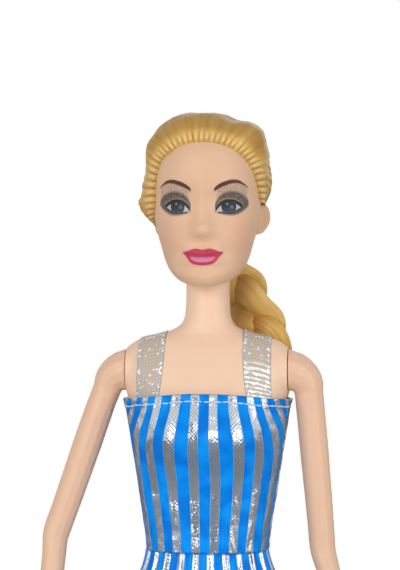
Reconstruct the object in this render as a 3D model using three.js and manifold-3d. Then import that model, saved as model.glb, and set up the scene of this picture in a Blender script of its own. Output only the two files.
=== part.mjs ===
// Fashion doll of the 11.5 inch size, in a striped dress and high-heeled shoes.
// Millimetres, +Z up. The doll faces -Y, so its own left side is +X. The origin is on the floor, under its
// middle. The body is moulded plastic: two torso shells hold the arms by their plugs and the legs by an axle,
// and a soft head with rooted hair is pushed over a neck plug. The dress is cut and sewn cloth with a
// hook-and-loop back.
import * as THREE from "three";
import { mergeVertices } from "three/addons/utils/BufferGeometryUtils.js";
import Module from "manifold-3d";

const wasm = await Module();
wasm.setup();

// Gaps and allowances
const seamGap = 0.3; // between pieces that touch
const jointGap = 0.3; // between pieces that turn on each other
const overrun = 2; // how far a cutting tool runs past what it cuts

// Each level stands its rise above the one before it.
function stacked(start, levels) {
  let height = start;
  return levels.map((level) => ({ ...level, height: (height += level.rise) }));
}

// Leg levels, from the foot up: rise, how far out and back the middle is, and half width and half depth
const [ankleEnd, ankle, shin, calf, knee, aboveKnee, thighMiddle, thigh, thighTop] = stacked(0, [
  { rise: 17, out: 7, back: 1.6, halfWidth: 2.7, halfDepth: 3.6 },
  { rise: 10, out: 7, back: 1.4, halfWidth: 2.8, halfDepth: 3.3 },
  { rise: 21, out: 7.2, back: 1.4, halfWidth: 4.2, halfDepth: 4.6 },
  { rise: 22, out: 7.5, back: 1.2, halfWidth: 5.9, halfDepth: 6.6 },
  { rise: 20, out: 7.7, back: -0.6, halfWidth: 5.8, halfDepth: 6.3 },
  { rise: 9, out: 8.2, back: -0.4, halfWidth: 6.2, halfDepth: 6.7 },
  { rise: 18, out: 9.6, back: 0.2, halfWidth: 7.5, halfDepth: 8.6 },
  { rise: 19, out: 11.3, back: 0.9, halfWidth: 8.2, halfDepth: 10.6 },
  { rise: 16, out: 11.9, back: 1.2, halfWidth: 8.4, halfDepth: 12 },
]);
const groinOverlap = 11.5; // from the top of the thigh down to the groin

// Levels of the torso, from the groin up: rise, half width, and depth in front of and behind the spine
const torsoLevels = stacked(thighTop.height - groinOverlap, [
  { rise: 0, halfWidth: 19.9, front: 10, back: 11.5 },
  { rise: 8.5, halfWidth: 20.4, front: 11.4, back: 13.8 },
  { rise: 8, halfWidth: 20.2, front: 12.2, back: 14.6 },
  { rise: 13, halfWidth: 18.2, front: 12, back: 12.2 },
  { rise: 11, halfWidth: 15, front: 10.9, back: 9.5 },
  { rise: 9, halfWidth: 13.7, front: 10.3, back: 8.7 },
  { rise: 13, halfWidth: 15.4, front: 10.4, back: 9.4 },
  { rise: 14, halfWidth: 17.6, front: 10.8, back: 10.1 },
  { rise: 10, halfWidth: 19.3, front: 10.2, back: 9.7 },
  { rise: 6, halfWidth: 20.6, front: 8.9, back: 9 },
  { rise: 5.2, halfWidth: 19.4, front: 6.6, back: 7.5 },
  { rise: 2.2, halfWidth: 16.2, front: 5.2, back: 6.9 },
  { rise: 1.4, halfWidth: 10.6, front: 4.4, back: 6.9 },
  { rise: 2.2, halfWidth: 7, front: 4, back: 7.3 },
]);
const [, , hip, , , waist, , bust, , shoulder, shoulderTop, , , neckRoot] = torsoLevels;
const torsoSquareShare = 0.8; // below 1 a ring of the torso is fuller than an ellipse

// Bust
const breastSpread = 7.2; // from the middle to the fullest point
const breastDepth = 5.4;
const breastHalfWidth = 5.2;
const breastRise = 6.4; // how far the swell reaches up
const breastDrop = 4.6; // how far it reaches down

// Torso shells
const torsoWall = 1.6;
const seamHalfWidth = 19.4; // where the arms' flat ends meet the torso
const shoulderBossRadius = 5.2;
const shoulderBossLength = 4;
const armHoleRadius = 2.7;
const crotchHalfWidth = 5;
const crotchDrop = 9.4; // from the hip axis down to the crotch
const crotchHeight = hip.height - crotchDrop;

// Neck and its plug
const neckAxisBack = 2; // how far the neck stands behind the spine line
const neckRadius = 5.6;
const neckLength = 13;
const neckTopHeight = neckRoot.height + neckLength;
const plugStemRadius = 2.2;
const plugStemDepth = 9;
const plugHeadRadius = 4;
const plugHeadHeight = 2.6;
const plugNeckHeight = 3;

// Hip joint
const hipDiscRadius = 16.2;
const axleRadius = 2;
const axleHalfLength = 13;

// Head, from under the chin to the top of the skull
const chinDrop = 4; // from the top of the neck down to the chin
const chinHeight = neckTopHeight - chinDrop;
const headHeight = 39.8;
const headHalfWidth = 13.05;
const faceDepth = 15.1; // from the neck line forward to the brow
const skullDepth = 18.8; // from the neck line back to the nape side
const headWall = 1.5;
const noseLength = 4.6;
const noseHalfWidth = 2.1;
const lipRise = 1;
const lipHalfWidth = 4.4;
const socketDepth = 1.3;
const browRise = 0.4;
const chinRise = 0.5;
const earHalfHeight = 3.7;
const earHalfDepth = 2.4;
const earThickness = 2.1;

// Hair
const hairThickness = 2.5;
const hairlineHalfWidth = 12.4;
const hairlineHeight = 35.4; // above the chin, at the middle of the forehead
const braidStrandHalfWidth = 3.3;
const braidStrandHalfThickness = 2.2;
const braidSwing = 3.6; // how far each strand swings to the side
const braidWeave = 1.8; // how far it goes over and under
const braidLayLength = 33; // along the braid, for one strand to come back
const braidStartShare = 0.167; // of a lay, where the first strand starts
const braidDrop = 55.5; // from the nape down to the band
const braidNapeRise = 9.5; // above the chin
const bandHalfHeight = 1.3;
const bandInnerRadius = 3;
const bandThickness = 0.8;
const tuftLength = 15;

// Arms
const armSeamRadius = 5;
const armpitInset = 0.8; // from the turn of the armpit to the skin
const upperArmLength = 38;
const forearmLength = 35;
const upperArmRadius = 3.35;
const elbowRadius = 3;
const forearmRadius = 2.95;
const palmLength = 8.5;
const palmHalfWidth = 3.2;
const palmHalfThickness = 1.45;
const fingerLength = 8;
const fingerRadius = 0.85;
const thumbLength = 6;
const armPlugHeadRadius = 4;
const armPlugHeadLength = 1.6;
// How many degrees the arms stand away from the body
const armLeanDegrees = { left: { upper: 5, forearm: 15 }, right: { upper: 19, forearm: 3 } };
const elbowBendDegrees = 14; // forward

// Foot and shoe, arched for a high heel
const footLength = 27;
const heelLift = 15; // from the ball of the foot up to the heel
const footHalfWidth = 4.2;
const footHalfHeight = 5;
const soleThickness = 2.1;
const shoeWall = 0.8;
const heelTopRadius = 2.7;
const heelTipRadius = 1.1;
const toplineRise = 3.4;
const vampLength = 9.5;

// Dress
const dressClearance = 0.4;
const dressCloth = 0.7;
const bodiceRise = 9.3; // above the fullest part of the bust
const bodiceTopHeight = bust.height + bodiceRise;
const dressSideBack = 1.5; // where the side seams run, behind the spine line
const closureWidth = 4;
const tapeThickness = 0.6;
const flapWidth = 5.2;
const strapCloth = 0.5;
const strapWidth = 6.1;
const rightStrapPlace = 13.2;
const leftStrapPlace = 11.9;
const skirtLength = 59;
const skirtHipRise = 3; // above the hip axis, where the skirt first stands its full swell off the hips
const skirtHipSwell = 4.4;
const hemSpread = { side: 26.6, front: 22.5, back: 23.5 };
const foldDepth = 1.1;
const foldCount = 11;
const skirtSquareShare = 0.85; // below 1 the skirt's outline is fuller than an ellipse

// How finely the round forms are faceted
const bodySides = 24;
const headSides = 26;
const limbSides = 12;
const fingerSides = 6;
const shaftSides = 20;
const discSides = 32;

const degree = Math.PI / 180;
const up = new THREE.Vector3(0, 0, 1);

// Solids

// A closed geometry as a solid that can be joined and cut.
function solidOf(geometry) {
  const bare = geometry.clone();
  bare.deleteAttribute("normal");
  bare.deleteAttribute("uv");
  const merged = mergeVertices(bare, 1e-4);
  return new wasm.Manifold(
    new wasm.Mesh({
      numProp: 3,
      vertProperties: new Float32Array(merged.attributes.position.array),
      triVerts: new Uint32Array(merged.index.array),
    }),
  );
}

function geometryOf(solid) {
  const mesh = solid.getMesh();
  return new THREE.BufferGeometry()
    .setAttribute("position", new THREE.BufferAttribute(new Float32Array(mesh.vertProperties), 3))
    .setIndex(new THREE.BufferAttribute(new Uint32Array(mesh.triVerts), 1));
}

// A box from its low corner to its high corner.
function block(low, high) {
  const size = high.map((value, i) => value - low[i]);
  const middle = high.map((value, i) => (value + low[i]) / 2);
  return solidOf(new THREE.BoxGeometry(...size).translate(...middle));
}

// A cylinder or cone between two points.
function shaft(from, to, fromRadius, toRadius = fromRadius, sides = shaftSides) {
  const start = new THREE.Vector3(...from);
  const along = new THREE.Vector3(...to).sub(start);
  const turn = new THREE.Quaternion().setFromUnitVectors(
    new THREE.Vector3(0, 1, 0),
    along.clone().normalize(),
  );
  const middle = start.clone().addScaledVector(along, 0.5);
  return solidOf(
    new THREE.CylinderGeometry(toRadius, fromRadius, along.length(), sides)
      .applyQuaternion(turn)
      .translate(middle.x, middle.y, middle.z),
  );
}

// An egg shape with its three half sizes.
function egg(centre, halfSizes, sides = limbSides) {
  return solidOf(
    new THREE.SphereGeometry(1, sides, sides / 2).scale(...halfSizes).translate(...centre),
  );
}

// A closed skin over a row of rings, each with as many points as the next, and a fan over each end.
function skin(rings) {
  const sides = rings[0].length;
  const ends = [rings[0], rings.at(-1)].map((ring) =>
    ring.reduce((sum, p) => sum.add(p), new THREE.Vector3()).divideScalar(sides),
  );
  const points = [...rings.flat(), ...ends];
  const index = [];
  const startPole = rings.length * sides;
  const lastRing = (rings.length - 1) * sides;
  for (let i = 0; i < sides; i++) {
    const next = (i + 1) % sides;
    index.push(startPole, next, i);
    index.push(startPole + 1, lastRing + i, lastRing + next);
    for (let k = 0; k < rings.length - 1; k++) {
      const low = k * sides;
      const high = low + sides;
      index.push(low + i, low + next, high + next, low + i, high + next, high + i);
    }
  }
  return new THREE.BufferGeometry().setFromPoints(points).setIndex(index);
}

// The same skin moved out along its own normals, or in with a negative distance.
function inflated(geometry, distance) {
  const bare = mergeVertices(geometry, 1e-4);
  bare.computeVertexNormals();
  const { position, normal } = bare.attributes;
  for (let i = 0; i < position.count; i++) {
    position.setXYZ(
      i,
      position.getX(i) + normal.getX(i) * distance,
      position.getY(i) + normal.getY(i) * distance,
      position.getZ(i) + normal.getZ(i) * distance,
    );
  }
  return solidOf(bare);
}

// A smooth reading of a table whose rows start with a rising key.
function smoothTable(rows) {
  const slope = (a, b, column) => (b[column] - a[column]) / (b[0] - a[0]);
  return (key) => {
    const last = rows.length - 2;
    const found = rows.findIndex((row, k) => k <= last && key <= rows[k + 1][0]);
    const k = found < 0 ? last : found;
    const [low, high] = [rows[k], rows[k + 1]];
    const [before, after] = [rows[Math.max(k - 1, 0)], rows[Math.min(k + 2, last + 1)]];
    const span = high[0] - low[0];
    const t = THREE.MathUtils.clamp((key - low[0]) / span, 0, 1);
    return low.slice(1).map((value, i) => {
      const start = slope(before, high, i + 1) * span;
      const end = slope(low, after, i + 1) * span;
      const rise = high[i + 1] - value;
      const cubic = start + end - 2 * rise;
      const square = 3 * rise - 2 * start - end;
      return value + t * (start + t * (square + t * cubic));
    });
  };
}

const power = (value, exponent) => Math.sign(value) * Math.abs(value) ** exponent;
const bell = (value, width) => Math.exp(-((value / width) ** 2) / 2);

// Torso

const neckLevel = (height) => ({
  height,
  halfWidth: neckRadius,
  front: neckRadius - neckAxisBack,
  back: neckRadius + neckAxisBack,
});
const neckBlendShare = 0.35; // where the neck becomes a plain column, between its root and its top
const neckColumnHeight = THREE.MathUtils.lerp(neckRoot.height, neckTopHeight, neckBlendShare);
const torsoAt = smoothTable(
  [...torsoLevels, neckLevel(neckColumnHeight), neckLevel(neckTopHeight)].map((level) => [
    level.height, level.halfWidth, level.front, level.back,
  ]),
);

// The swell of the bust at a place on the front.
function bustSwell(x, z) {
  const reach = z > bust.height ? breastRise : breastDrop;
  const across = bell(x - breastSpread, breastHalfWidth) + bell(x + breastSpread, breastHalfWidth);
  return breastDepth * across * bell(z - bust.height, reach);
}

// One level ring of the torso, from the front round by its left side.
function torsoRing(height) {
  const [halfWidth, front, back] = torsoAt(height);
  const neckShare = THREE.MathUtils.smoothstep(height, shoulder.height, neckColumnHeight);
  const squareness = THREE.MathUtils.lerp(torsoSquareShare, 1, neckShare);
  const widestBack = neckAxisBack * neckShare; // how far back the ring is widest
  return Array.from({ length: bodySides }, (_, i) => {
    const angle = (i / bodySides) * 2 * Math.PI;
    const forward = Math.cos(angle);
    const x = halfWidth * power(Math.sin(angle), squareness);
    const depth = forward > 0 ? front + widestBack : back - widestBack;
    const swell = bustSwell(x, height) * Math.max(forward, 0) ** squareness;
    return new THREE.Vector3(x, widestBack - depth * power(forward, squareness) - swell, height);
  });
}

const torsoRingHeights = (() => {
  const heights = [];
  const marks = [...torsoLevels.map((level) => level.height), neckColumnHeight, neckTopHeight];
  const widestStep = 5;
  marks.slice(0, -1).forEach((mark, i) => {
    const steps = Math.ceil((marks[i + 1] - mark) / widestStep);
    for (let k = 0; k < steps; k++) heights.push(mark + ((marks[i + 1] - mark) * k) / steps);
  });
  return [...heights, neckTopHeight];
})();
const torsoSkin = skin(torsoRingHeights.map(torsoRing));
const torsoForm = solidOf(torsoSkin);

const sides = [
  { name: "left", sign: 1 },
  { name: "right", sign: -1 },
];
const axleAt = (x) => [x, 0, hip.height];
const shoulderAt = (x) => [x, 0, shoulder.height];
const farOut = seamHalfWidth * 2;

// Everything within a radius of the hip axis, outside the crotch, on one side.
function hipDisc(sign, radius, inner) {
  return shaft(axleAt(sign * inner), axleAt(sign * farOut), radius, radius, discSides);
}

function torsoSolid() {
  let solid = torsoForm.intersect(
    block([-seamHalfWidth, -farOut, crotchHeight], [seamHalfWidth, farOut, neckTopHeight + overrun]),
  );
  for (const { sign } of sides) {
    const bossStart = seamHalfWidth - shoulderBossLength;
    const bossEnds = [bossStart, seamHalfWidth].map((x) => shoulderAt(sign * x));
    solid = solid.add(shaft(...bossEnds, shoulderBossRadius));
    solid = solid.subtract(hipDisc(sign, hipDiscRadius + jointGap, crotchHalfWidth));
  }
  return solid;
}

// The hollow inside the torso, open into the arm holes.
function torsoHollow() {
  const lowest = hip.height + hipDiscRadius + torsoWall * 2;
  const highest = shoulderTop.height - torsoWall;
  const levels = 6;
  const ringSides = 12;
  const rings = Array.from({ length: levels + 1 }, (_, k) => {
    const height = THREE.MathUtils.lerp(lowest, highest, k / levels);
    const [halfWidth, front, back] = torsoAt(height);
    const wide = Math.min(halfWidth, seamHalfWidth) - torsoWall;
    return Array.from({ length: ringSides }, (_, i) => {
      const angle = (i / ringSides) * 2 * Math.PI;
      const depth = (Math.cos(angle) > 0 ? front : back) - torsoWall;
      const [across, forward] = [Math.sin(angle), Math.cos(angle)].map((p) => power(p, torsoSquareShare));
      return new THREE.Vector3(wide * across, -depth * forward, height);
    });
  });
  let hollow = solidOf(skin(rings));
  const wallInside = seamHalfWidth - torsoWall;
  const roomInside = wallInside - armPlugHeadLength - jointGap * 3;
  for (const { sign } of sides) {
    const spots = [roomInside, wallInside, seamHalfWidth + overrun];
    const [inner, wall, outer] = spots.map((x) => shoulderAt(sign * x));
    hollow = hollow.add(shaft(inner, wall, armPlugHeadRadius + jointGap)).add(shaft(inner, outer, armHoleRadius));
  }
  const axleReach = crotchHalfWidth + overrun;
  const axleHole = shaft(axleAt(-axleReach), axleAt(axleReach), axleRadius + seamGap);
  const stemHole = shaft(
    [0, neckAxisBack, neckTopHeight - plugStemDepth - seamGap],
    [0, neckAxisBack, neckTopHeight + overrun],
    plugStemRadius + seamGap,
  );
  return hollow.add(axleHole).add(stemHole);
}

const wholeTorso = torsoSolid().subtract(torsoHollow());
const torsoSeamHalfGap = seamGap / 3;

function torsoHalf(front) {
  const wide = farOut * 2;
  const tall = neckTopHeight + overrun;
  return front
    ? wholeTorso.intersect(block([-wide, -wide, 0], [wide, -torsoSeamHalfGap, tall]))
    : wholeTorso.intersect(block([-wide, torsoSeamHalfGap, 0], [wide, wide, tall]));
}

// The plug that the head is pushed over: a stem in the neck, a waist for the head's rim and a flared head.
function neckPlug() {
  const at = (height) => [0, neckAxisBack, height];
  const flangeTop = neckTopHeight + seamGap + plugNeckHeight / 2;
  const waistTop = flangeTop + plugNeckHeight;
  const stem = shaft(at(neckTopHeight - plugStemDepth), at(flangeTop), plugStemRadius);
  const waistPart = shaft(at(neckTopHeight + seamGap), at(waistTop), plugStemRadius);
  const headEnds = [at(waistTop - seamGap), at(waistTop + plugHeadHeight)];
  const head = shaft(...headEnds, plugHeadRadius, plugHeadRadius / 2);
  return stem.add(waistPart).add(head);
}

// Head

// Rows of the head from under the jaw to the crown. Each holds the height at the face and at the nape as shares
// of the head's height, then shares of its half width, of the face's depth and of the skull's depth.
const headRowShares = [
  [0.085, 0.116, 0.43, 0.225, 0.39],
  [0.04, 0.123, 0.51, 0.53, 0.455],
  [0.006, 0.133, 0.53, 0.722, 0.495],
  [0.025, 0.166, 0.63, 0.828, 0.532],
  [0.065, 0.201, 0.716, 0.887, 0.596],
  [0.126, 0.251, 0.789, 0.861, 0.702],
  [0.191, 0.312, 0.843, 0.861, 0.809],
  [0.266, 0.372, 0.904, 0.874, 0.894],
  [0.342, 0.432, 0.95, 0.881, 0.952],
  [0.422, 0.492, 0.981, 0.874, 0.984],
  [0.503, 0.553, 0.996, 0.887, 1],
  [0.583, 0.613, 1, 0.96, 1],
  [0.658, 0.673, 0.989, 1, 0.979],
  [0.729, 0.734, 0.958, 1, 0.931],
  [0.794, 0.794, 0.897, 0.954, 0.856],
  [0.854, 0.854, 0.797, 0.861, 0.745],
  [0.91, 0.91, 0.659, 0.715, 0.596],
  [0.955, 0.955, 0.475, 0.517, 0.42],
  [0.987, 0.987, 0.261, 0.265, 0.239],
];
const headPoleShares = [0.105, 1]; // heights of the two poles
// Places on the face as shares of the head's height
const noseShares = { root: 0.53, tip: 0.334, base: 0.285, hollow: 1.3 };
const mouthShares = { upper: 0.213, line: 0.184, lower: 0.155 };
const eyeShare = 0.485;
const browShare = 0.58;
const chinShare = 0.07;
const earShare = 0.4;
const eyeSpreadShare = 0.505; // of the head's half width
const earSpreadShare = 0.97;
// How far the parts of the face reach, as shares of the head's half width and of its height
const socketReachShares = { x: 0.22, z: 0.07 };
const eyeballReachShares = { x: 0.125, z: 0.036 };
const browReachShares = { x: 0.33, z: 0.036 };
const chinReachShares = { x: 0.31, z: 0.056 };
const noseBellShare = 0.72; // of the nose's half width
const headSquareShare = 0.88; // at the crown
const headTable = smoothTable(headRowShares.map((row, k) => [k / (headRowShares.length - 1), ...row]));

// How far the face stands out of the plain head at a place on its front.
function faceRelief(x, height) {
  const above = (share) => height - headHeight * share;
  const noseSpan = headHeight * (noseShares.root - noseShares.tip);
  const noseFade = (headHeight * (noseShares.tip - noseShares.base)) / 2;
  const tipDistance = above(noseShares.tip);
  const bridge = Math.max(1 - tipDistance / noseSpan, 0) ** noseShares.hollow;
  const noseRise = tipDistance > 0 ? bridge : bell(tipDistance, noseFade);
  const nose = noseLength * noseRise * bell(x, noseHalfWidth * noseBellShare);
  const lipWidth = Math.max(1 - (x / lipHalfWidth) ** 2, 0);
  const lipReach = (headHeight * (mouthShares.upper - mouthShares.line)) / 2;
  const lipAt = (share) => bell(above(share), lipReach);
  const lips = lipRise * lipWidth * (lipAt(mouthShares.upper) + lipAt(mouthShares.lower));
  const swell = (fromMiddle, share, reach) =>
    bell(fromMiddle, headHalfWidth * reach.x) * bell(above(share), headHeight * reach.z);
  const fromEye = Math.abs(x) - headHalfWidth * eyeSpreadShare;
  const socket = socketDepth * swell(fromEye, eyeShare, socketReachShares);
  const eyeball = (socketDepth / 2) * swell(fromEye, eyeShare, eyeballReachShares);
  const brow = browRise * swell(fromEye, browShare, browReachShares);
  const chin = chinRise * swell(x, chinShare, chinReachShares);
  return nose + lips - socket + eyeball + brow + chin;
}

// A point of the head: rowShare runs from under the jaw to the crown, and the angle from the face by its left
// side.
function headPoint(rowShare, angle, withFace) {
  const [faceHeight, napeHeight, width, face, skull] = headTable(rowShare);
  const forward = Math.cos(angle);
  const squareness = THREE.MathUtils.lerp(1, headSquareShare, rowShare);
  const backShare = (1 - forward) / 2;
  const height = headHeight * THREE.MathUtils.lerp(faceHeight, napeHeight, backShare);
  const x = headHalfWidth * width * power(Math.sin(angle), squareness);
  const depth = forward > 0 ? faceDepth * face : skullDepth * skull;
  const relief = withFace && forward > 0 ? faceRelief(x, height) * Math.min(forward * 2, 1) : 0;
  return new THREE.Vector3(x, -depth * power(forward, squareness) - relief, height);
}

// Angles round the head, closer together over the face.
function headAngles(count) {
  const crowdingShare = 0.45;
  return Array.from({ length: count }, (_, i) => {
    const even = (i / count) * 2 * Math.PI;
    return even - crowdingShare * Math.sin(even);
  });
}

function headSkin(rows, angles, withFace) {
  const rings = Array.from({ length: rows + 1 }, (_, k) =>
    angles.map((angle) => headPoint(k / rows, angle, withFace)),
  );
  const poles = headPoleShares.map((share) => new THREE.Vector3(0, neckAxisBack, headHeight * share));
  return mergeVertices(skinWithPoles(rings, ...poles), 1e-4);
}

// A skin whose two ends close on given points.
function skinWithPoles(rings, startPoint, endPoint) {
  const geometry = skin(rings);
  const { position } = geometry.attributes;
  position.setXYZ(position.count - 2, ...startPoint.toArray());
  position.setXYZ(position.count - 1, ...endPoint.toArray());
  return geometry;
}

const headSkinRows = 22;
const plainHeadSides = 22;
const plainHeadRows = 15;
const hollowSides = 12;
const hollowRows = 8;
const plainHead = headSkin(plainHeadRows, headAngles(plainHeadSides), false);
const earAt = (sign) => [sign * headHalfWidth * earSpreadShare, neckAxisBack, headHeight * earShare];

function ear(sign, allowance = 0) {
  const sizes = [earThickness, earHalfDepth, earHalfHeight].map((size) => size + allowance);
  return egg(earAt(sign), sizes);
}

function headShell() {
  const outside = solidOf(headSkin(headSkinRows, headAngles(headSides), true)).add(ear(1)).add(ear(-1));
  const hollow = inflated(headSkin(hollowRows, headAngles(hollowSides), false), -headWall);
  const neckAxisAt = (height) => [0, neckAxisBack, height];
  const socketTop = chinDrop + seamGap;
  const socket = shaft(neckAxisAt(-overrun), neckAxisAt(socketTop), neckRadius + jointGap);
  const rim = shaft(neckAxisAt(0), neckAxisAt(chinDrop + plugNeckHeight * 3), plugStemRadius + jointGap);
  const roof = socketTop + headWall;
  const floorCut = block([-farOut, -farOut, -overrun], [farOut, farOut, roof]);
  return outside.subtract(hollow.subtract(floorCut)).subtract(socket).subtract(rim);
}

// Hair

// The outline of the face opening in the hair, seen from the front, as shares of the hairline's half width
// and height: from the middle of the forehead down the doll's left side, and up its right side.
const hairlineShares = [
  [0, 1], [0.3, 0.99], [0.61, 0.945], [0.87, 0.86], [1, 0.76], [1.05, 0.62], [1.13, 0.5], [1.4, 0.4],
  [1.7, 0.34],
];
const rightHairlineShares = [
  [1.7, 0.3], [1.4, 0.34], [1.08, 0.4], [1.03, 0.6], [1, 0.8], [0.88, 0.885], [0.72, 0.935], [0.46, 0.98],
  [0.3, 0.995],
];

// The lower edge of the hair seen from each side, from the front to the nape, as shares of the skull's depth
// and of the head's height. The left ear is free, and the hair covers the top of the right one.
const hairEdgeShares = {
  left: [[0.235, 0.49], [0.55, 0.208], [1, 0.13]],
  right: [[-0.34, 0.5], [0, 0.395], [0.24, 0.36], [0.55, 0.25], [1, 0.13]],
};

// What lies below the hair's lower edge on one side of the head.
function underHairEdge({ name, sign }) {
  const edge = hairEdgeShares[name].map(([yShare, zShare]) => [skullDepth * yShare, headHeight * zShare]);
  const outline = new THREE.Shape();
  outline.moveTo(-farOut, -chinHeight);
  outline.lineTo(farOut, -chinHeight);
  outline.lineTo(farOut, edge.at(-1)[1]);
  [...edge].reverse().forEach((spot) => outline.lineTo(...spot));
  outline.lineTo(-farOut, edge[0][1]);
  return solidOf(
    new THREE.ExtrudeGeometry(outline, { depth: farOut, bevelEnabled: false })
      .rotateX(Math.PI / 2)
      .rotateZ(Math.PI / 2)
      .translate(sign > 0 ? -seamGap : seamGap - farOut, 0, 0),
  );
}

// What the hair leaves open round the face.
function faceOpening() {
  const outline = new THREE.Shape();
  const point = ([xShare, zShare], sign) => [sign * xShare * hairlineHalfWidth, zShare * hairlineHeight];
  const left = hairlineShares.map((share) => point(share, 1));
  const right = rightHairlineShares.map((share) => point(share, -1));
  outline.moveTo(...left[0]);
  left.slice(1).forEach((spot) => outline.lineTo(...spot));
  outline.lineTo(left.at(-1)[0], -chinHeight);
  outline.lineTo(right[0][0], -chinHeight);
  right.forEach((spot) => outline.lineTo(...spot));
  return solidOf(
    new THREE.ExtrudeGeometry(outline, { depth: farOut, bevelEnabled: false })
      .rotateX(Math.PI / 2)
      .translate(0, neckAxisBack / 2, 0),
  );
}

function hairCap() {
  const scalp = headSkin(headSkinRows, headAngles(headSides), true);
  const cover = inflated(plainHead, hairThickness + seamGap).subtract(inflated(scalp, seamGap));
  return sides.reduce(
    (cap, side) => cap.subtract(underHairEdge(side)).subtract(ear(side.sign, seamGap)),
    cover.subtract(faceOpening()),
  );
}

// The middle line of the braid, from the nape down behind the left shoulder
// Shares of the shoulder's half width, of the braid's depth behind the spine and of its drop
const braidRouteShares = [
  [0.175, 1.12, 0], [0.252, 1.12, 0.1], [0.379, 1.105, 0.207], [0.519, 1.09, 0.323], [0.641, 1.075, 0.441],
  [0.631, 1.075, 0.604], [0.466, 1.12, 0.784], [0.379, 1.105, 0.928], [0.359, 1.09, 1],
];
const braidDepth = bust.back + dressClearance + dressCloth + braidStrandHalfThickness;
const braidCurve = new THREE.CatmullRomCurve3(
  braidRouteShares.map(
    ([xShare, yShare, dropShare]) =>
      new THREE.Vector3(
        shoulder.halfWidth * xShare,
        braidDepth * yShare,
        chinHeight + braidNapeRise - braidDrop * dropShare,
      ),
  ),
);
const braidTaperShare = 0.78; // the braid's thickness at its end

// The frame of the braid at a share of its length: its place, its direction, sideways and outward.
function braidFrame(share) {
  const place = braidCurve.getPointAt(share);
  const along = braidCurve.getTangentAt(share);
  const outward = new THREE.Vector3(0, 1, 0).addScaledVector(along, -along.y).normalize();
  const sideways = outward.clone().cross(along).normalize();
  return { place, along, sideways, outward };
}

function braidStrand(phase) {
  const steps = 18;
  const strandSides = 6;
  const length = braidCurve.getLength();
  const rings = Array.from({ length: steps + 1 }, (_, k) => {
    const share = k / steps;
    const { place, sideways, outward } = braidFrame(share);
    const turn = (share * length * 2 * Math.PI) / braidLayLength + phase;
    const taper = THREE.MathUtils.lerp(1, braidTaperShare, share);
    const middle = place
      .clone()
      .addScaledVector(sideways, braidSwing * taper * Math.sin(turn))
      .addScaledVector(outward, braidWeave * taper * Math.sin(2 * turn));
    return Array.from({ length: strandSides }, (_, i) => {
      const angle = (i / strandSides) * 2 * Math.PI;
      return middle
        .clone()
        .addScaledVector(sideways, braidStrandHalfWidth * taper * Math.cos(angle))
        .addScaledVector(outward, braidStrandHalfThickness * taper * Math.sin(angle));
    });
  });
  return solidOf(skin(rings));
}

function braid() {
  const phases = [0, 1, 2].map((k) => (k / 3 + braidStartShare) * 2 * Math.PI);
  const underHair = inflated(plainHead, hairThickness + seamGap * 2).translate([0, 0, chinHeight]);
  return phases.map(braidStrand).reduce((sum, strand) => sum.add(strand)).subtract(underHair);
}

// The elastic band round the end of the braid, and the loose tuft under it.
const braidEnd = braidFrame(1);
const bandRadius = bandInnerRadius + bandThickness;
const bandMiddle = braidEnd.place.clone().addScaledVector(braidEnd.along, bandHalfHeight + seamGap);

function elasticBand() {
  const reach = braidEnd.along.clone().multiplyScalar(bandHalfHeight);
  const [top, bottom] = [-1, 1].map((sign) => bandMiddle.clone().addScaledVector(reach, sign));
  return shaft(top.toArray(), bottom.toArray(), bandRadius);
}

// Stations of the tuft: shares of its length and of the band's radius
const tuftStationShares = [[0, 0.79], [0.2, 1.05], [0.6, 1], [0.9, 0.65], [1, 0.42]];
const tuftFlatShare = 0.75;

function tuft() {
  const start = bandMiddle.clone().addScaledVector(braidEnd.along, bandHalfHeight + seamGap);
  const rings = tuftStationShares.map(([lengthShare, widthShare]) => {
    const place = start.clone().addScaledVector(braidEnd.along, tuftLength * lengthShare);
    const wide = bandRadius * widthShare;
    return Array.from({ length: limbSides }, (_, i) => {
      const angle = (i / limbSides) * 2 * Math.PI;
      return place
        .clone()
        .addScaledVector(braidEnd.sideways, wide * Math.cos(angle))
        .addScaledVector(braidEnd.outward, wide * tuftFlatShare * Math.sin(angle));
    });
  });
  return solidOf(skin(rings));
}

// Arms

// A ring across a limb: its middle, two directions in its plane and two half sizes.
function ringAcross(middle, first, second, firstSize, secondSize, count = limbSides) {
  return Array.from({ length: count }, (_, i) => {
    const angle = (i / count) * 2 * Math.PI;
    return middle
      .clone()
      .addScaledVector(first, firstSize * Math.cos(angle))
      .addScaledVector(second, secondSize * Math.sin(angle));
  });
}

// Stations along the limbs: a share of the part's length, then shares of its half sizes.
const upperArmStationShares = [[0.35, 1.02], [0.7, 0.97]];
const forearmStationShares = [[0.25, 1], [0.55, 0.9], [0.85, 0.73], [1, 0.68]]; // of the forearm's radius
const palmStationShares = [[0.15, 0.66, 1.2], [0.5, 0.95, 1], [0.85, 1, 0.85], [1, 0.94, 0.72]];
const fingerPlaceShares = [[-0.72, 0.9], [-0.25, 1], [0.23, 0.95], [0.7, 0.76]]; // across the palm, and long
const fingerTipShare = 0.62;
const knuckleShare = 0.9;
const thumbShares = { root: 0.35, side: 0.5, down: 0.8, forward: 0.55, thick: 1.15, tip: 0.75 };
const shoulderFallShare = 0.8; // how early the shoulder narrows to the arm
const forearmFlatShare = 0.92;

// The point that lies each distance along its direction from a start.
function moved(start, ...steps) {
  return steps.reduce((point, step) => point.addScaledVector(...step), start.clone());
}

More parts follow.
